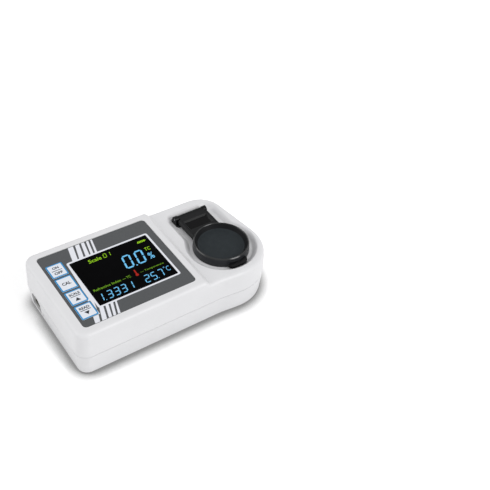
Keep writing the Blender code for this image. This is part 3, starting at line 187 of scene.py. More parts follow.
# colour: 0 to 255. patch and grain: pattern sizes per metre. tone: how far the colour drifts.
# relief: height of the grain in mm. rough: lowest and highest roughness.
finishSetup = {
    "caseWhite": {
        "colour": (223, 223, 225), "tone": 0.014, "patch": 55, "grain": 3400,
        "relief": 0.0010, "rough": (0.33, 0.42), "shine": 0.50,
    },
    "panelGrey": {
        "colour": (77, 79, 81), "tone": 0.05, "patch": 900, "grain": 5200,
        "relief": 0.0010, "rough": (0.42, 0.52), "shine": 0.30,
    },
    "printWhite": {
        "colour": (229, 231, 238), "tone": 0.012, "patch": 700, "grain": 5200,
        "relief": 0.0008, "rough": (0.40, 0.50), "shine": 0.35,
    },
    "screenBlack": {
        "colour": (2, 2, 3), "tone": 0.30, "patch": 240, "grain": 900,
        "relief": 0.0003, "rough": (0.05, 0.09), "shine": 0.02,
    },
    "keyWhite": {
        "colour": (228, 232, 240), "tone": 0.012, "patch": 500, "grain": 5000,
        "relief": 0.0010, "rough": (0.36, 0.44), "shine": 0.35,
    },
    "keyBlue": {
        "colour": (34, 140, 200), "tone": 0.05, "patch": 600, "grain": 5000,
        "relief": 0.0008, "rough": (0.38, 0.46), "shine": 0.30,
    },
    "labelDark": {
        "colour": (44, 46, 52), "tone": 0.06, "patch": 1500, "grain": 6000,
        "relief": 0.0006, "rough": (0.45, 0.55), "shine": 0.20,
    },
    "lidBlack": {
        "colour": (12, 13, 15), "tone": 0.14, "patch": 120, "grain": 2600,
        "relief": 0.0024, "rough": (0.28, 0.36), "shine": 0.13,
    },
    # the lid's outer wall: the same black plastic as lidBlack, drawn lighter as a painted sheen
    "skirtPaintedSheen": {
        "colour": (34, 36, 39), "tone": 0.12, "patch": 160, "grain": 2600,
        "relief": 0.0020, "rough": (0.30, 0.40), "shine": 0.30,
    },
    "dishBlack": {
        "colour": (20, 21, 23), "tone": 0.12, "patch": 160, "grain": 3200,
        "relief": 0.0030, "rough": (0.48, 0.58), "shine": 0.10,
    },
    "rimBlack": {
        "colour": (15, 16, 18), "tone": 0.12, "patch": 160, "grain": 2200,
        "relief": 0.0006, "rough": (0.14, 0.20), "shine": 0.45,
    },
    "lidGloss": {
        "colour": (6, 6, 7), "tone": 0.20, "patch": 160, "grain": 1200,
        "relief": 0.0006, "rough": (0.10, 0.16), "shine": 0.07,
    },
    "inlayGrey": {
        "colour": (42, 47, 50), "tone": 0.08, "patch": 260, "grain": 4200,
        "relief": 0.0040, "rough": (0.62, 0.74), "shine": 0.12,
    },
    "rubberBlack": {
        "colour": (28, 28, 30), "tone": 0.12, "patch": 300, "grain": 2400,
        "relief": 0.0060, "rough": (0.68, 0.80), "shine": 0.15,
    },
    "steel": {
        "colour": (176, 178, 182), "tone": 0.06, "patch": 220, "grain": 1500,
        "relief": 0.0012, "rough": (0.20, 0.32), "shine": 0.50, "metal": 1.0,
    },
    "plateSteel": {
        "colour": (184, 186, 190), "tone": 0.05, "patch": 200, "grain": 5200,
        "relief": 0.0004, "rough": (0.24, 0.32), "shine": 0.50, "metal": 1.0,
        # turning marks round the plate's centre (metres): rings per metre, wobble, height in mm
        "rings": {"centre": (0.0496, -0.01129, 0.0), "scale": 260, "wobble": 0.6, "relief": 0.0010},
    },
    "gold": {
        "colour": (214, 172, 92), "tone": 0.05, "patch": 400, "grain": 2600,
        "relief": 0.0006, "rough": (0.18, 0.28), "shine": 0.50, "metal": 1.0,
    },
    "socketGrey": {
        "colour": (128, 127, 122), "tone": 0.08, "patch": 300, "grain": 1800,
        "relief": 0.0010, "rough": (0.30, 0.42), "shine": 0.50,
    },
    "softWhite": {
        "colour": (236, 238, 234), "tone": 0.03, "patch": 200, "grain": 2600,
        "relief": 0.0015, "rough": (0.45, 0.55), "shine": 0.30,
    },
    "boardGreen": {
        "colour": (26, 84, 52), "tone": 0.22, "patch": 700, "grain": 1800,
        "relief": 0.0100, "rough": (0.32, 0.46), "shine": 0.40,
    },
    "innerBlack": {
        "colour": (22, 22, 24), "tone": 0.15, "patch": 200, "grain": 2600,
        "relief": 0.0030, "rough": (0.50, 0.62), "shine": 0.20,
    },
    "cellWrap": {
        "colour": (38, 66, 120), "tone": 0.10, "patch": 150, "grain": 1200,
        "relief": 0.0015, "rough": (0.26, 0.36), "shine": 0.40,
    },
    "prismGlass": {
        "colour": (196, 210, 216), "tone": 0.03, "patch": 120, "grain": 700,
        "relief": 0.0001, "rough": (0.02, 0.04), "shine": 0.50, "glass": 0.75,
    },
}

# lit marks of the readout: a black body whose colour shines
litSetup = {
    "readoutBlue": {"colour": (116, 196, 242), "tone": 0.10},
    "readoutGreen": {"colour": (150, 205, 40), "tone": 0.12},
    "readoutDim": {"colour": (112, 160, 42), "tone": 0.16},
    "readoutRed": {"colour": (168, 42, 34), "tone": 0.14},
}
litCommon = {"patch": 1800, "rough": (0.4, 0.5), "shine": 0.0, "glow": 1.0}
finishSetup.update({name: {**setup, **litCommon} for name, setup in litSetup.items()})

# how the noises are used: where the ramps start and end, noise detail, gloss patches per colour patch
pattern = {"span": (0.30, 0.70), "colourDetail": 3.0, "fineDetail": 2.0, "glossPatch": 2.3}


def makeFinish(name, setup):
    # colour = chosen colour x (1 +- tone x soft noise); height = fine noise x relief;
    # roughness runs between its two values on a third noise
    material = bpy.data.materials.new(name)
    material.use_nodes = True
    tree = material.node_tree
    shader = tree.nodes["Principled BSDF"]
    place = tree.nodes.new("ShaderNodeTexCoord").outputs["Object"]
    low, high = pattern["span"]

    def noise(scale, detail):
        node = tree.nodes.new("ShaderNodeTexNoise")
        node.inputs["Scale"].default_value = scale
        node.inputs["Detail"].default_value = detail
        tree.links.new(place, node.inputs["Vector"])
        return node.outputs["Fac"]

    base = linear(setup["colour"])
    ramp = tree.nodes.new("ShaderNodeValToRGB")
    ends = [np.clip(base * (1 + side * setup["tone"]), 0, 1) for side in (-1, 1)]
    setRamp(ramp, (low, ends[0]), (high, ends[1]))
    tree.links.new(noise(setup["patch"], pattern["colourDetail"]), ramp.inputs["Fac"])
    gloss = tree.nodes.new("ShaderNodeMapRange")
    gloss.inputs["From Min"].default_value = low
    gloss.inputs["From Max"].default_value = high
    gloss.inputs["To Min"].default_value = setup["rough"][0]
    gloss.inputs["To Max"].default_value = setup["rough"][1]
    glossNoise = noise(setup["patch"] * pattern["glossPatch"], pattern["fineDetail"])
    tree.links.new(glossNoise, gloss.inputs["Value"])
    tree.links.new(gloss.outputs["Result"], shader.inputs["Roughness"])
    shader.inputs["Specular IOR Level"].default_value = setup["shine"]
    if "glow" in setup:
        shader.inputs["Base Color"].default_value = (0.0, 0.0, 0.0, 1.0)
        tree.links.new(ramp.outputs["Color"], shader.inputs["Emission Color"])
        shader.inputs["Emission Strength"].default_value = setup["glow"]
        return material
    tree.links.new(ramp.outputs["Color"], shader.inputs["Base Color"])
    shader.inputs["Metallic"].default_value = setup.get("metal", 0.0)
    shader.inputs["Transmission Weight"].default_value = setup.get("glass", 0.0)
    bump = tree.nodes.new("ShaderNodeBump")
    bump.inputs["Distance"].default_value = setup["relief"] * mm
    tree.links.new(noise(setup["grain"], pattern["fineDetail"]), bump.inputs["Height"])
    tree.links.new(bump.outputs["Normal"], shader.inputs["Normal"])
    if "rings" in setup:
        tree.links.new(ringBump(tree, place, setup["rings"]), bump.inputs["Normal"])
    return material


def ringBump(tree, place, rings):
    # a ring wave out from the centre, bumped before the grain
    centred = tree.nodes.new("ShaderNodeVectorMath")
    centred.operation = "SUBTRACT"
    centred.inputs[1].default_value = rings["centre"]
    wave = tree.nodes.new("ShaderNodeTexWave")
    wave.wave_type = "RINGS"
    wave.rings_direction = "Z"
    wave.inputs["Scale"].default_value = rings["scale"]
    wave.inputs["Distortion"].default_value = rings["wobble"]
    turned = tree.nodes.new("ShaderNodeBump")
    turned.inputs["Distance"].default_value = rings["relief"] * mm
    tree.links.new(place, centred.inputs[0])
    tree.links.new(centred.outputs["Vector"], wave.inputs["Vector"])
    tree.links.new(wave.outputs["Fac"], turned.inputs["Height"])
    return turned.outputs["Normal"]


finishes = {name: makeFinish(name, setup) for name, setup in finishSetup.items()}

# which finish each carried over solid takes, by its name, or by a part of its name
nodeFinish = {
    "screenBlack": ["display_window", "lcd_glass"],
    "panelGrey": ["overlay_panel"],
    "steel": ["lcd_frame", "hinge_pin", "sample_plate", "temperature_probe"],
    "softWhite": ["lcd_backlight", "usb_socket_tongue"],
    "boardGreen": ["main_board", "socket_board", "sensor_board"],
    "innerBlack": ["optics_housing", "line_sensor"],
    "socketGrey": ["usb_socket_shell"],
    "cellWrap": ["battery_pack"],
    "caseWhite": ["upper_shell", "lower_shell", "battery_cover"],
    "lidBlack": ["lid", "hinge_bracket"],
    "inlayGrey": ["lid_inlay"],
    "rubberBlack": ["lid_gasket", "prism_seal"],
    "prismGlass": ["prism", "led_emitter", "lens"],
}
finishByPart = {"foot": "rubberBlack", "switch": "innerBlack", "key": "keyWhite", "screw": "steel"}
finishOfNode = {node: finish for finish, names in nodeFinish.items() for node in names}
for name, obj in nodes.items():
    byPart = [finish for part, finish in finishByPart.items() if part in name]
    obj.data.materials.clear()
    obj.data.materials.append(finishes[finishOfNode.get(name) or byPart[0]])
print("finishes on", len(nodes), "solids")

# mesh helpers


def boxMm(node):
    # the node's lowest and highest x, y and z in mm
    low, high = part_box(node)
    return np.array(low) / mm, np.array(high) / mm


def addPiece(name, points, faces, body, materials, materialOf=None, smoothAngle=0.0):
    # points in metres, faces as lists of point numbers; edges flatter than the angle are shaded round
    mesh = bpy.data.meshes.new(name)
    mesh.from_pydata(np.asarray(points, float).tolist(), [], [list(map(int, f)) for f in faces])
    for material in materials:
        mesh.materials.append(material)
    if materialOf is not None:
        mesh.polygons.foreach_set("material_index", np.asarray(materialOf, np.int32))
    if smoothAngle:
        mesh.shade_smooth()
        mesh.set_sharp_from_angle(angle=math.radians(smoothAngle))
    mesh.update()
    obj = bpy.data.objects.new(name, mesh)
    bpy.context.scene.collection.objects.link(obj)
    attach(obj, body)
    return obj


def gridFaces(rows, columns, wrap=True):
    # quad i, j runs from point (i, j) down the rows, then along the columns;
    # wrap joins the last column to the first
    i, j = np.meshgrid(np.arange(rows - 1), np.arange(columns if wrap else columns - 1), indexing="ij")
    k = (j + 1) % columns
    quads = [i * columns + j, (i + 1) * columns + j, (i + 1) * columns + k, i * columns + k]
    return np.stack(quads, -1).reshape(-1, 4)


def cappedFaces(rows, columns):
    # the wrapped grid, with its first and last rings closed
    faces = [list(q) for q in gridFaces(rows, columns)]
    return faces + [list(range(columns)), list(range((rows - 1) * columns, rows * columns))[::-1]]


def roundedOutline(x0, y0, x1, y1, radius, perCorner):
    # a quarter circle of the radius at each corner, joined by the straight sides,
    # anticlockwise from the right
    turn = np.linspace(0, math.pi / 2, perCorner)[None, :] + np.arange(4)[:, None] * math.pi / 2
    cx = np.array([x1 - radius, x0 + radius, x0 + radius, x1 - radius])[:, None]
    cy = np.array([y1 - radius, y1 - radius, y0 + radius, y0 + radius])[:, None]
    return np.stack([cx + radius * np.cos(turn), cy + radius * np.sin(turn)], -1).reshape(-1, 2)


def disc(cx, cy, radius, count):
    turn = np.arange(count) * 2 * math.pi / count
    return np.stack([cx + radius * np.cos(turn), cy + radius * np.sin(turn)], 1)


def raised(flat, z):
    # flat points in mm lifted to the height z in mm, as metres
    flat = np.asarray(flat, float).reshape(-1, 2)
    return np.column_stack([flat, np.full(len(flat), float(z))]) * mm


def addSheet(name, flat, faces, z, body, finish):
    # flat points in mm at one height, as a piece with flat shading
    return addPiece(name, raised(flat, z), faces, body, [finishes[finish]])


# moulded parts with rounded shading

lidCentre = (49.6, -11.29)
shadeWeight = 60

# faces of the lid whose middle lies in a zone take its finish: lowest and highest x, y, z in mm,
# how far out from the lid's centre the zone reaches, and the least upward facing
lidZones = [
    {  # sunk panel of the arm
        "low": (37.0, 8.0, 36.0), "high": (58.6, 24.0, 37.2),
        "out": (0.0, 60.0), "up": 0.9, "finish": "lidGloss",
    },
    {  # floor and wall of the dish
        "low": (20.0, -40.0, 35.0), "high": (80.0, 20.0, 39.2),
        "out": (0.0, 19.2), "up": 0.1, "finish": "dishBlack",
    },
    {  # upper edge
        "low": (20.0, -40.0, 38.8), "high": (80.0, 20.0, 39.6),
        "out": (19.2, 20.8), "up": 0.1, "finish": "rimBlack",
    },
    # outer wall, whose lighter colour is a painted sheen
    {  # outer wall
        "low": (20.0, -40.0, 33.0), "high": (80.0, 7.0, 38.9),
        "out": (20.3, 21.7), "up": -0.4, "finish": "skirtPaintedSheen",
    },
]

mouldedSetup = [
    # node, piece name, body, finish, slot, angle, zones
    ("upper_shell", "caseTop", "casing", "caseWhite", "case_white", 32.0, []),
    ("lower_shell", "caseBase", "casing", "caseWhite", "case_white", 32.0, []),
    ("battery_cover", "batteryDoor", "casing", "caseWhite", "case_white", 32.0, []),
    ("hinge_bracket", "hingeBlock", "casing", "lidBlack", "lid_black", 35.0, []),
    ("lid", "lidShell", "lid", "lidBlack", "lid_black", 35.0, lidZones),
    ("sample_plate", "samplePlate", "casing", "plateSteel", "steel", 35.0, []),
]


def mergedMesh(source):
    # equal corners of the loose triangles made one, and triangles without an area left out
    points = np.empty(len(source.vertices) * 3, np.float32)
    source.vertices.foreach_get("co", points)
    points = points.reshape(-1, 3)
    source.calc_loop_triangles()
    corners = np.empty(len(source.loop_triangles) * 3, np.int32)
    source.loop_triangles.foreach_get("vertices", corners)
    rounded = np.round(points * 1e7).astype(np.int64)
    _, first, same = np.unique(rounded, axis=0, return_index=True, return_inverse=True)
    faces = same.reshape(-1)[corners.reshape(-1, 3)]
    whole = (faces != np.roll(faces, -1, 1)).all(1)
    return points[first], faces[whole]


def paintZones(piece, zones):
    count = len(piece.data.polygons)
    middle, facing = np.empty(count * 3, np.float32), np.empty(count * 3, np.float32)
    piece.data.polygons.foreach_get("center", middle)
    piece.data.polygons.foreach_get("normal", facing)
    middle, up = middle.reshape(-1, 3) / mm, facing.reshape(-1, 3)[:, 2]
    out = np.hypot(middle[:, 0] - lidCentre[0], middle[:, 1] - lidCentre[1])
    index = np.zeros(count, np.int32)
    for k, zone in enumerate(zones):
        inside = ((middle > zone["low"]) & (middle < zone["high"])).all(1)
        inside &= (out > zone["out"][0]) & (out < zone["out"][1]) & (up > zone["up"])
        index[inside] = k + 1
        piece.data.materials.append(finishes[zone["finish"]])
    piece.data.polygons.foreach_set("material_index", index)


def smoothCopy(node, name, body, finish, slot, angle, zones):
    # shaded round below the angle, each face weighing by its area so that flat walls stay flat
    points, faces = mergedMesh(nodes[node].data)
    piece = addPiece(name, points, faces, body, [finishes[finish]], None, angle)
    if zones:
        paintZones(piece, zones)
    weighted = piece.modifiers.new("evenShading", "WEIGHTED_NORMAL")
    weighted.keep_sharp = True
    weighted.weight = shadeWeight
    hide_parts(node)


for row in mouldedSetup:
    smoothCopy(*row)

dishFloor = {
    # out from the centre and height, mm: nearly flat, then turning up to the dish's wall, and back underneath
    "profile": [
        (0.6, 35.46), (7.0, 35.46), (13.0, 35.48), (15.6, 35.54), (16.5, 35.66), (16.95, 35.84),
        (17.26, 36.12), (17.28, 36.04), (17.05, 35.72), (16.7, 35.48), (16.3, 35.36), (0.6, 35.35),
    ],
    "around": 96,
    "angle": 50.0,
}


def makeDishFloor(setup):
    # each profile point is carried round the lid's centre: x = cx + out cos(turn), y = cy + out sin(turn)
    turn = np.linspace(0, 2 * math.pi, setup["around"], endpoint=False)
    out, height = np.array(setup["profile"]).T
    points = np.stack([
        lidCentre[0] + out[:, None] * np.cos(turn),
        lidCentre[1] + out[:, None] * np.sin(turn),
        np.repeat(height[:, None], len(turn), 1),
    ], -1).reshape(-1, 3) * mm
    faces = cappedFaces(len(out), len(turn))
    piece = addPiece("lidInlay", points, faces, "lid", [finishes["inlayGrey"]], None, setup["angle"])
    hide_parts("lid_inlay")


makeDishFloor(dishFloor)
print("moulded parts shaded")

# panel print

panelPrint = {
    "height": {"border": 39.24, "bars": 39.21, "sweep": 39.225},  # mm, just over the film, one over the other
    # how far each outline lies from the window's left, front, right and back sides, and its corner
    "borderInner": {"off": (0.35, 0.45, -0.35, -0.30), "corner": 0.7},
    "borderOuter": {"off": (-1.20, -0.95, 1.20, 1.20), "corner": 1.6},
    "perCorner": 10,
    # the bars: left and right ends at the back and at the front, and where they end, off the window or in mm
    "backBars": {
        "top": [(-49.0, -45.0), (-43.4, -40.3), (-38.8, -36.4), (-34.9, -33.1), (-31.6, -30.2)],
        "foot": [(-52.0, -48.1), (-46.9, -43.5), (-42.0, -39.1), (-38.0, -36.0), (-34.6, -33.0)],
        "yTop": 37.15,
        "offWindow": 0.9,
    },
    "frontBars": {
        "top": [(-56.6, -53.7), (-52.2, -50.0), (-48.6, -46.5), (-45.1, -43.9)],
        "foot": [(-60.2, -56.8), (-55.4, -53.1), (-52.0, -50.1), (-48.7, -46.9)],
        "yFoot": -35.95,
        "offWindow": -0.6,
    },
    # the sweep's edges: y, x
    "sweepLeft": [
        (22.0, -57.0), (11.0, -57.6), (-0.7, -58.3), (-8.2, -59.2),
        (-16.7, -60.4), (-22.0, -61.6), (-28.2, -63.3), (-35.95, -65.2),
    ],
    "sweepRight": [
        (22.0, -56.4), (-17.0, -56.4), (-18.1, -57.0),
        (-22.4, -57.9), (-27.8, -59.2), (-35.95, -61.7),
    ],
    "sweepRows": 24,
    "keyGap": 0.35,
}


def barPrint(name, bars, yTop, yFoot, height):
    # each bar is a four sided sheet from its two lower ends to its two upper ends
    top, foot = np.array(bars["top"]), np.array(bars["foot"])
    x = np.stack([foot[:, 0], foot[:, 1], top[:, 1], top[:, 0]], 1)
    y = np.tile([yFoot, yFoot, yTop, yTop], (len(top), 1))
    faces = np.arange(x.size).reshape(-1, 4)
    return addSheet(name, np.stack([x, y], -1), faces, height, "casing", "printWhite")


def borderPrint(setup, window):
    # a ring between two rounded outlines
    outlines = [
        roundedOutline(*(window + rim["off"]), rim["corner"], setup["perCorner"])
        for rim in (setup["borderInner"], setup["borderOuter"])
    ]
    faces, height = gridFaces(2, len(outlines[0])), setup["height"]["border"]
    return addSheet("screenBorder", np.stack(outlines), faces, height, "casing", "printWhite")


def sweepPrint(setup):
    # rows from the left edge to the right edge; the left edge keeps clear of the keys that it passes
    gap = setup["keyGap"]
    readLow, readHigh = boxMm("key_read")
    keyRight, readFront, readBack = readHigh[0] + gap, readLow[1] - gap, readHigh[1] + gap
    scaleFront = boxMm("key_scale")[0][1] - gap
    onOffBack = boxMm("key_on_off")[1][1] + gap
    leftY, leftX = np.array(setup["sweepLeft"]).T
    rightY, rightX = np.array(setup["sweepRight"]).T
    pieces = []
    for name, yBack, yFront, besideKey in [
        ("sweepBack", leftY[0], scaleFront, False),
        ("sweepGap", scaleFront, readBack, False),
        ("sweepMiddle", readBack, readFront, True),
        ("sweepFront", readFront, leftY[-1], False),
    ]:
        y = np.linspace(yBack, yFront, setup["sweepRows"])
        left, right = np.interp(-y, -leftY, leftX), np.interp(-y, -rightY, rightX)
        beside = (y > scaleFront) & (y < onOffBack) | besideKey
        left = np.where(beside, np.maximum(left, keyRight), left)
        rows = np.stack([np.stack([left, y], 1), np.stack([right, y], 1)], 1)
        faces = gridFaces(len(y), 2, False)
        pieces.append(addSheet(name, rows, faces, setup["height"]["sweep"], "casing", "printWhite"))
    return pieces


def makePanelPrint(setup):
    low, high = boxMm("display_window")
    pieces = [borderPrint(setup, np.array([low[0], low[1], high[0], high[1]]))]
    back, front, height = setup["backBars"], setup["frontBars"], setup["height"]["bars"]
    pieces.append(barPrint("backBars", back, back["yTop"], high[1] + back["offWindow"], height))
    pieces.append(barPrint("frontBars", front, low[1] + front["offWindow"], front["yFoot"], height))
    for piece in pieces + sweepPrint(setup):
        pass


makePanelPrint(panelPrint)
print("panel print laid")

# keys

keySetup = {
    "names": ["on_off", "cal", "scale", "read"],
    "corner": 0.9,
    "leastCorner": 0.3,
    "perCorner": 8,
    # inset and height under the top, mm
    "rings": [(2.6, -0.06), (0.95, -0.06), (0.14, -0.08), (0.03, -0.14), (0.0, -0.28)],
    "blueBetween": (1, 3),  # the rings that hold the blue edge
    "angle": 40.0,
    "labelLift": 0.02,
    "labelWeight": 0.034,
}

# letters: name, text, half width, lowest and highest y, in mm from the key's middle
keyLetters = {
    "on_off": [("markOn", "ON", 2.3, 1.45, 3.9), ("markOff", "OFF", 3.0, -3.9, -1.45)],
    "cal": [("markCal", "CAL", 3.1, -1.4, 1.4)],
    "scale": [("markScale", "SCALE", 3.8, 1.9, 4.1)],
    "read": [("markRead", "READ", 3.6, 1.9, 4.1)],
}


def rule(y):
    # a line across the key at the height y, anticlockwise like every outline here
    half, thick = 3.7, 0.26
    return [(-half, y - thick), (half, y - thick), (half, y + thick), (-half, y + thick)]


keyShapes = {
    "on_off": [("markOnRule", rule(0.0))],
    "cal": [],
    "scale": [("markScaleRule", rule(0.85)), ("markUp", [(-1.9, -3.6), (1.9, -3.6), (0.0, -0.6)])],
    "read": [("markReadRule", rule(0.85)), ("markDown", [(0.0, -3.6), (1.9, -0.6), (-1.9, -0.6)])],
}


def lettering(name, text, box, z, body, finish, heavy, lean=0.0):
    # plain letters, stretched to fill the box (x0, y0, x1, y1 in mm) and leaned by lean x height
    curve = bpy.data.curves.new(name, "FONT")
    curve.body = text
    curve.offset = heavy
    curve.resolution_u = 3
    maker = bpy.data.objects.new(name + "Maker", curve)
    bpy.context.scene.collection.objects.link(maker)
    bpy.context.view_layer.update()
    mesh = bpy.data.meshes.new_from_object(maker.evaluated_get(bpy.context.evaluated_depsgraph_get()))
    mesh.name = name
    bpy.data.objects.remove(maker)
    bpy.data.curves.remove(curve)
    points = np.empty(len(mesh.vertices) * 3, np.float32)
    mesh.vertices.foreach_get("co", points)
    flat = points.reshape(-1, 3)[:, :2].astype(float)
    share = (flat - flat.min(0)) / np.ptp(flat, axis=0)
    x0, y0, x1, y1 = box
    placed = [x0, y0] + share * [x1 - x0, y1 - y0]
    placed[:, 0] += lean * share[:, 1] * (y1 - y0)
    mesh.vertices.foreach_set("co", raised(placed, z).astype(np.float32).ravel())
    mesh.materials.clear()
    mesh.materials.append(finishes[finish])
    mesh.update()
    obj = bpy.data.objects.new(name, mesh)
    bpy.context.scene.collection.objects.link(obj)
    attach(obj, body)
    return obj


def makeKey(node, setup):
    # rounded outlines stacked as rings: flat face, blue edge, short rounded side and a straight skirt,
    # closed above and below; gives back the face's middle and the labels' height in mm
    low, high = boxMm(node)
    (x0, y0, foot), (x1, y1, top) = low, high
    levels = setup["rings"] + [(0.0, foot - top)]
    rings = []
    for inset, height in levels:
        corner = max(setup["corner"] - inset, setup["leastCorner"])
        outline = roundedOutline(x0 + inset, y0 + inset, x1 - inset, y1 - inset, corner, setup["perCorner"])
        rings.append(raised(outline, top + height))
    count = len(rings[0])
    ring = np.repeat(np.arange(len(rings) - 1), count)
    blue = (ring >= setup["blueBetween"][0]) & (ring < setup["blueBetween"][1])
    faces = cappedFaces(len(rings), count)
    paint = [finishes["keyWhite"], finishes["keyBlue"]]
    cap = addPiece(node + "Cap", np.concatenate(rings), faces, node, paint, [*blue, 0, 0], setup["angle"])
    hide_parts(node)
    return (x0 + x1) / 2, (y0 + y1) / 2, top + setup["rings"][0][1] + setup["labelLift"]


for which in keySetup["names"]:
    body = "key_" + which
    cx, cy, face = makeKey(body, keySetup)
    heavy = keySetup["labelWeight"]
    marks = [
        lettering(name, text, (cx - half, cy + y0, cx + half, cy + y1), face, body, "labelDark", heavy)
        for name, text, half, y0, y1 in keyLetters[which]
    ]
    marks += [
        addSheet(name, np.array(outline) + (cx, cy), [range(len(outline))], face, body, "labelDark")
        for name, outline in keyShapes[which]
    ]
print("keys made")

# screen readout

readout = {"height": 39.215, "lean": 0.16, "gap": 0.16}

# digits: cell size, bar width, then each digit with its lower left corner, then each dot with its size, in mm
digitRows = {
    "mainDigits": {
        "finish": "readoutBlue", "size": (6.6, 13.2), "stroke": 1.30,
        "cells": [("0", -23.6, -2.6), ("0", -13.9, -2.6)],
        "dots": [(-15.4, -2.3, 1.3)],
    },
    "indexDigits": {
        "finish": "readoutBlue", "size": (4.0, 7.5), "stroke": 0.72,
        "cells": [
            ("1", -54.3, -21.2), ("3", -47.3, -21.2), ("3", -42.0, -21.2),
            ("3", -36.7, -21.2), ("1", -31.6, -21.2),
        ],
        "dots": [(-49.0, -20.9, 0.7)],
    },
    "warmthDigits": {
        "finish": "readoutBlue", "size": (4.0, 7.5), "stroke": 0.72,
        "cells": [("2", -18.6, -21.2), ("5", -13.4, -21.2), ("7", -7.9, -21.2)],
        "dots": [(-8.7, -20.9, 0.7)],
    },
    "scaleDigits": {
        "finish": "readoutGreen", "size": (2.7, 4.3), "stroke": 0.55,
        "cells": [("0", -31.9, 15.3), ("1", -28.9, 15.3)],
        "dots": [],
    },
}
barsOf = {"0": "abcdef", "1": "bc", "2": "abged", "3": "abgcd", "5": "afgcd", "7": "abc"}

screenWords = [
    # name, words, box in mm, finish, weight, lean
    ("wordScale", "Scale", (-43.2, 15.4, -33.4, 19.0), "readoutGreen", 0.012, 0.10),
    ("wordTc", "TC", (-3.4, 7.0, 0.9, 10.4), "readoutGreen", 0.010, 0.16),
    ("wordPercent", "%", (-4.4, -1.9, -0.4, 4.6), "readoutBlue", 0.015, 0.10),
    ("wordIndex", "Refractive Index", (-52.8, -10.6, -32.2, -8.3), "readoutDim", 0.012, 0.0),
    ("wordIndexTc", "--- TC", (-31.0, -10.6, -24.6, -8.3), "readoutDim", 0.012, 0.0),
    ("wordTemperature", "--- Temperature", (-17.2, -10.8, 1.4, -8.8), "readoutDim", 0.010, 0.0),
    ("wordC", "C", (-0.3, -18.3, 2.4, -13.6), "readoutBlue", -0.006, 0.12),
]

degreeMark = {"middle": (-0.9, -13.7), "inner": 0.28, "outer": 0.55, "around": 20}

batteryMark = {
    # left and right ends of each
    "bars": [(-4.4, -3.5), (-3.2, -2.3), (-2.0, -1.1), (-0.8, 0.1), (0.4, 1.5)],
    "y": (16.5, 18.4),
    "lean": 0.30,
    "nib": [(1.75, 17.0), (2.35, 17.0), (2.65, 17.9), (2.05, 17.9)],
}

thermometerMark = {
    # a narrow round ended stem that widens into a bulb: height and half width
    "profile": [
        (-11.9, 0.15), (-11.5, 0.95), (-10.9, 1.25), (-10.3, 1.1), (-9.8, 0.7), (-9.4, 0.55),
        (-8.6, 0.55), (-7.4, 0.55), (-6.2, 0.55), (-5.6, 0.45), (-5.3, 0.1),
    ],
    "foot": (-20.2, -12.0),
    "lean": 0.06,
}


def segmentPoints(size, stroke, gap):
    # each bar is a six sided sheet along its line: pointed at both ends, as wide as the stroke
    w, h, t = size[0], size[1], stroke / 2
    ends = {
        "a": ((t, h - t), (w - t, h - t)),
        "b": ((w - t, h / 2), (w - t, h - t)),
        "c": ((w - t, t), (w - t, h / 2)),
        "d": ((t, t), (w - t, t)),
        "e": ((t, t), (t, h / 2)),
        "f": ((t, h / 2), (t, h - t)),
        "g": ((t, h / 2), (w - t, h / 2)),
    }
    shapes = {}
    for name, (p, q) in ends.items():
        p, q = np.array(p), np.array(q)
        along = (q - p) / np.linalg.norm(q - p)
        side = np.array([-along[1], along[0]]) * t
        p, q, step = p + along * gap, q - along * gap, along * t
        shapes[name] = np.array([p, p + step - side, q - step - side, q, q - step + side, p + step + side])
    return shapes


def digitPiece(name, setup):
    # the lit bars of each digit, leaned by lean x height, and the dots
    shapes = segmentPoints(setup["size"], setup["stroke"], readout["gap"])
    lean = np.array([[1.0, 0.0], [readout["lean"], 1.0]])
    sheets = [shapes[bar] @ lean + [x, y] for digit, x, y in setup["cells"] for bar in barsOf[digit]]
    sheets += [disc(x, y, size / 2, 6) for x, y, size in setup["dots"]]
    faces = np.arange(len(sheets) * 6).reshape(-1, 6)
    return addSheet(name, sheets, faces, readout["height"], "casing", setup["finish"])


def ringSheet(name, setup):
    # two circles joined by a ring of quads
    circles = [disc(*setup["middle"], setup[radius], setup["around"]) for radius in ("inner", "outer")]
    faces = gridFaces(2, setup["around"])
    return addSheet(name, circles, faces, readout["height"], "casing", "readoutBlue")


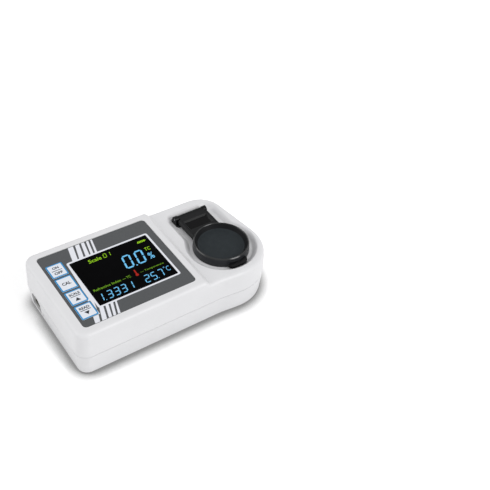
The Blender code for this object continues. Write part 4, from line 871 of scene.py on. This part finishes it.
def makeBatteryMark(setup):
    # leaning bars in a row, closed by a nib
    y0, y1 = setup["y"]
    shift = setup["lean"] * (y1 - y0)
    sheets = [[(a, y0), (b, y0), (b + shift, y1), (a + shift, y1)] for a, b in setup["bars"]] + [setup["nib"]]
    faces = np.arange(len(sheets) * 4).reshape(-1, 4)
    return addSheet("batteryMark", sheets, faces, readout["height"], "casing", "readoutGreen")


def makeThermometerMark(setup):
    y, half = np.array(setup["profile"]).T
    footX, footY = setup["foot"]
    middle = footX + (y - footY) * setup["lean"]
    rows = np.stack([np.stack([middle - half, y], 1), np.stack([middle + half, y], 1)], 1)
    faces = gridFaces(len(y), 2, False)[:, ::-1]
    return addSheet("thermometerMark", rows, faces, readout["height"], "casing", "readoutRed")


litPieces = [digitPiece(name, setup) for name, setup in digitRows.items()]
for name, words, box, finish, heavy, lean in screenWords:
    litPieces.append(lettering(name, words, box, readout["height"], "casing", finish, heavy, lean))
litPieces.append(ringSheet("degreeRing", degreeMark))
litPieces.append(makeBatteryMark(batteryMark))
litPieces.append(makeThermometerMark(thermometerMark))
print("readout lit")

# data socket contacts

contactSetup = {
    "x": (-75.4, -71.0),
    "width": 0.9,
    "thick": 0.12,
    "off": 1.2,  # how far each strip's middle lies from the tongue's, mm
    "lift": 0.01,
}


def makeContacts(setup):
    # two flat strips on the upper side of the socket's tongue: each a closed box of eight corners
    low, high = boxMm("usb_socket_tongue")
    middle, foot = (low[1] + high[1]) / 2, high[2] + setup["lift"]
    (x0, x1), half = setup["x"], setup["width"] / 2
    boxes = []
    for y in (middle - setup["off"], middle + setup["off"]):
        flat = [(x0, y - half), (x1, y - half), (x1, y + half), (x0, y + half)]
        boxes += [raised(flat, foot), raised(flat, foot + setup["thick"])]
    sides = np.array([(0, 3, 2, 1), (4, 5, 6, 7), (0, 1, 5, 4), (1, 2, 6, 5), (2, 3, 7, 6), (3, 0, 4, 7)])
    faces = np.concatenate([sides, sides + 8])
    return addPiece("socketContacts", np.concatenate(boxes), faces, "casing", [finishes["gold"]])


makeContacts(contactSetup)
print("socket contacts made")
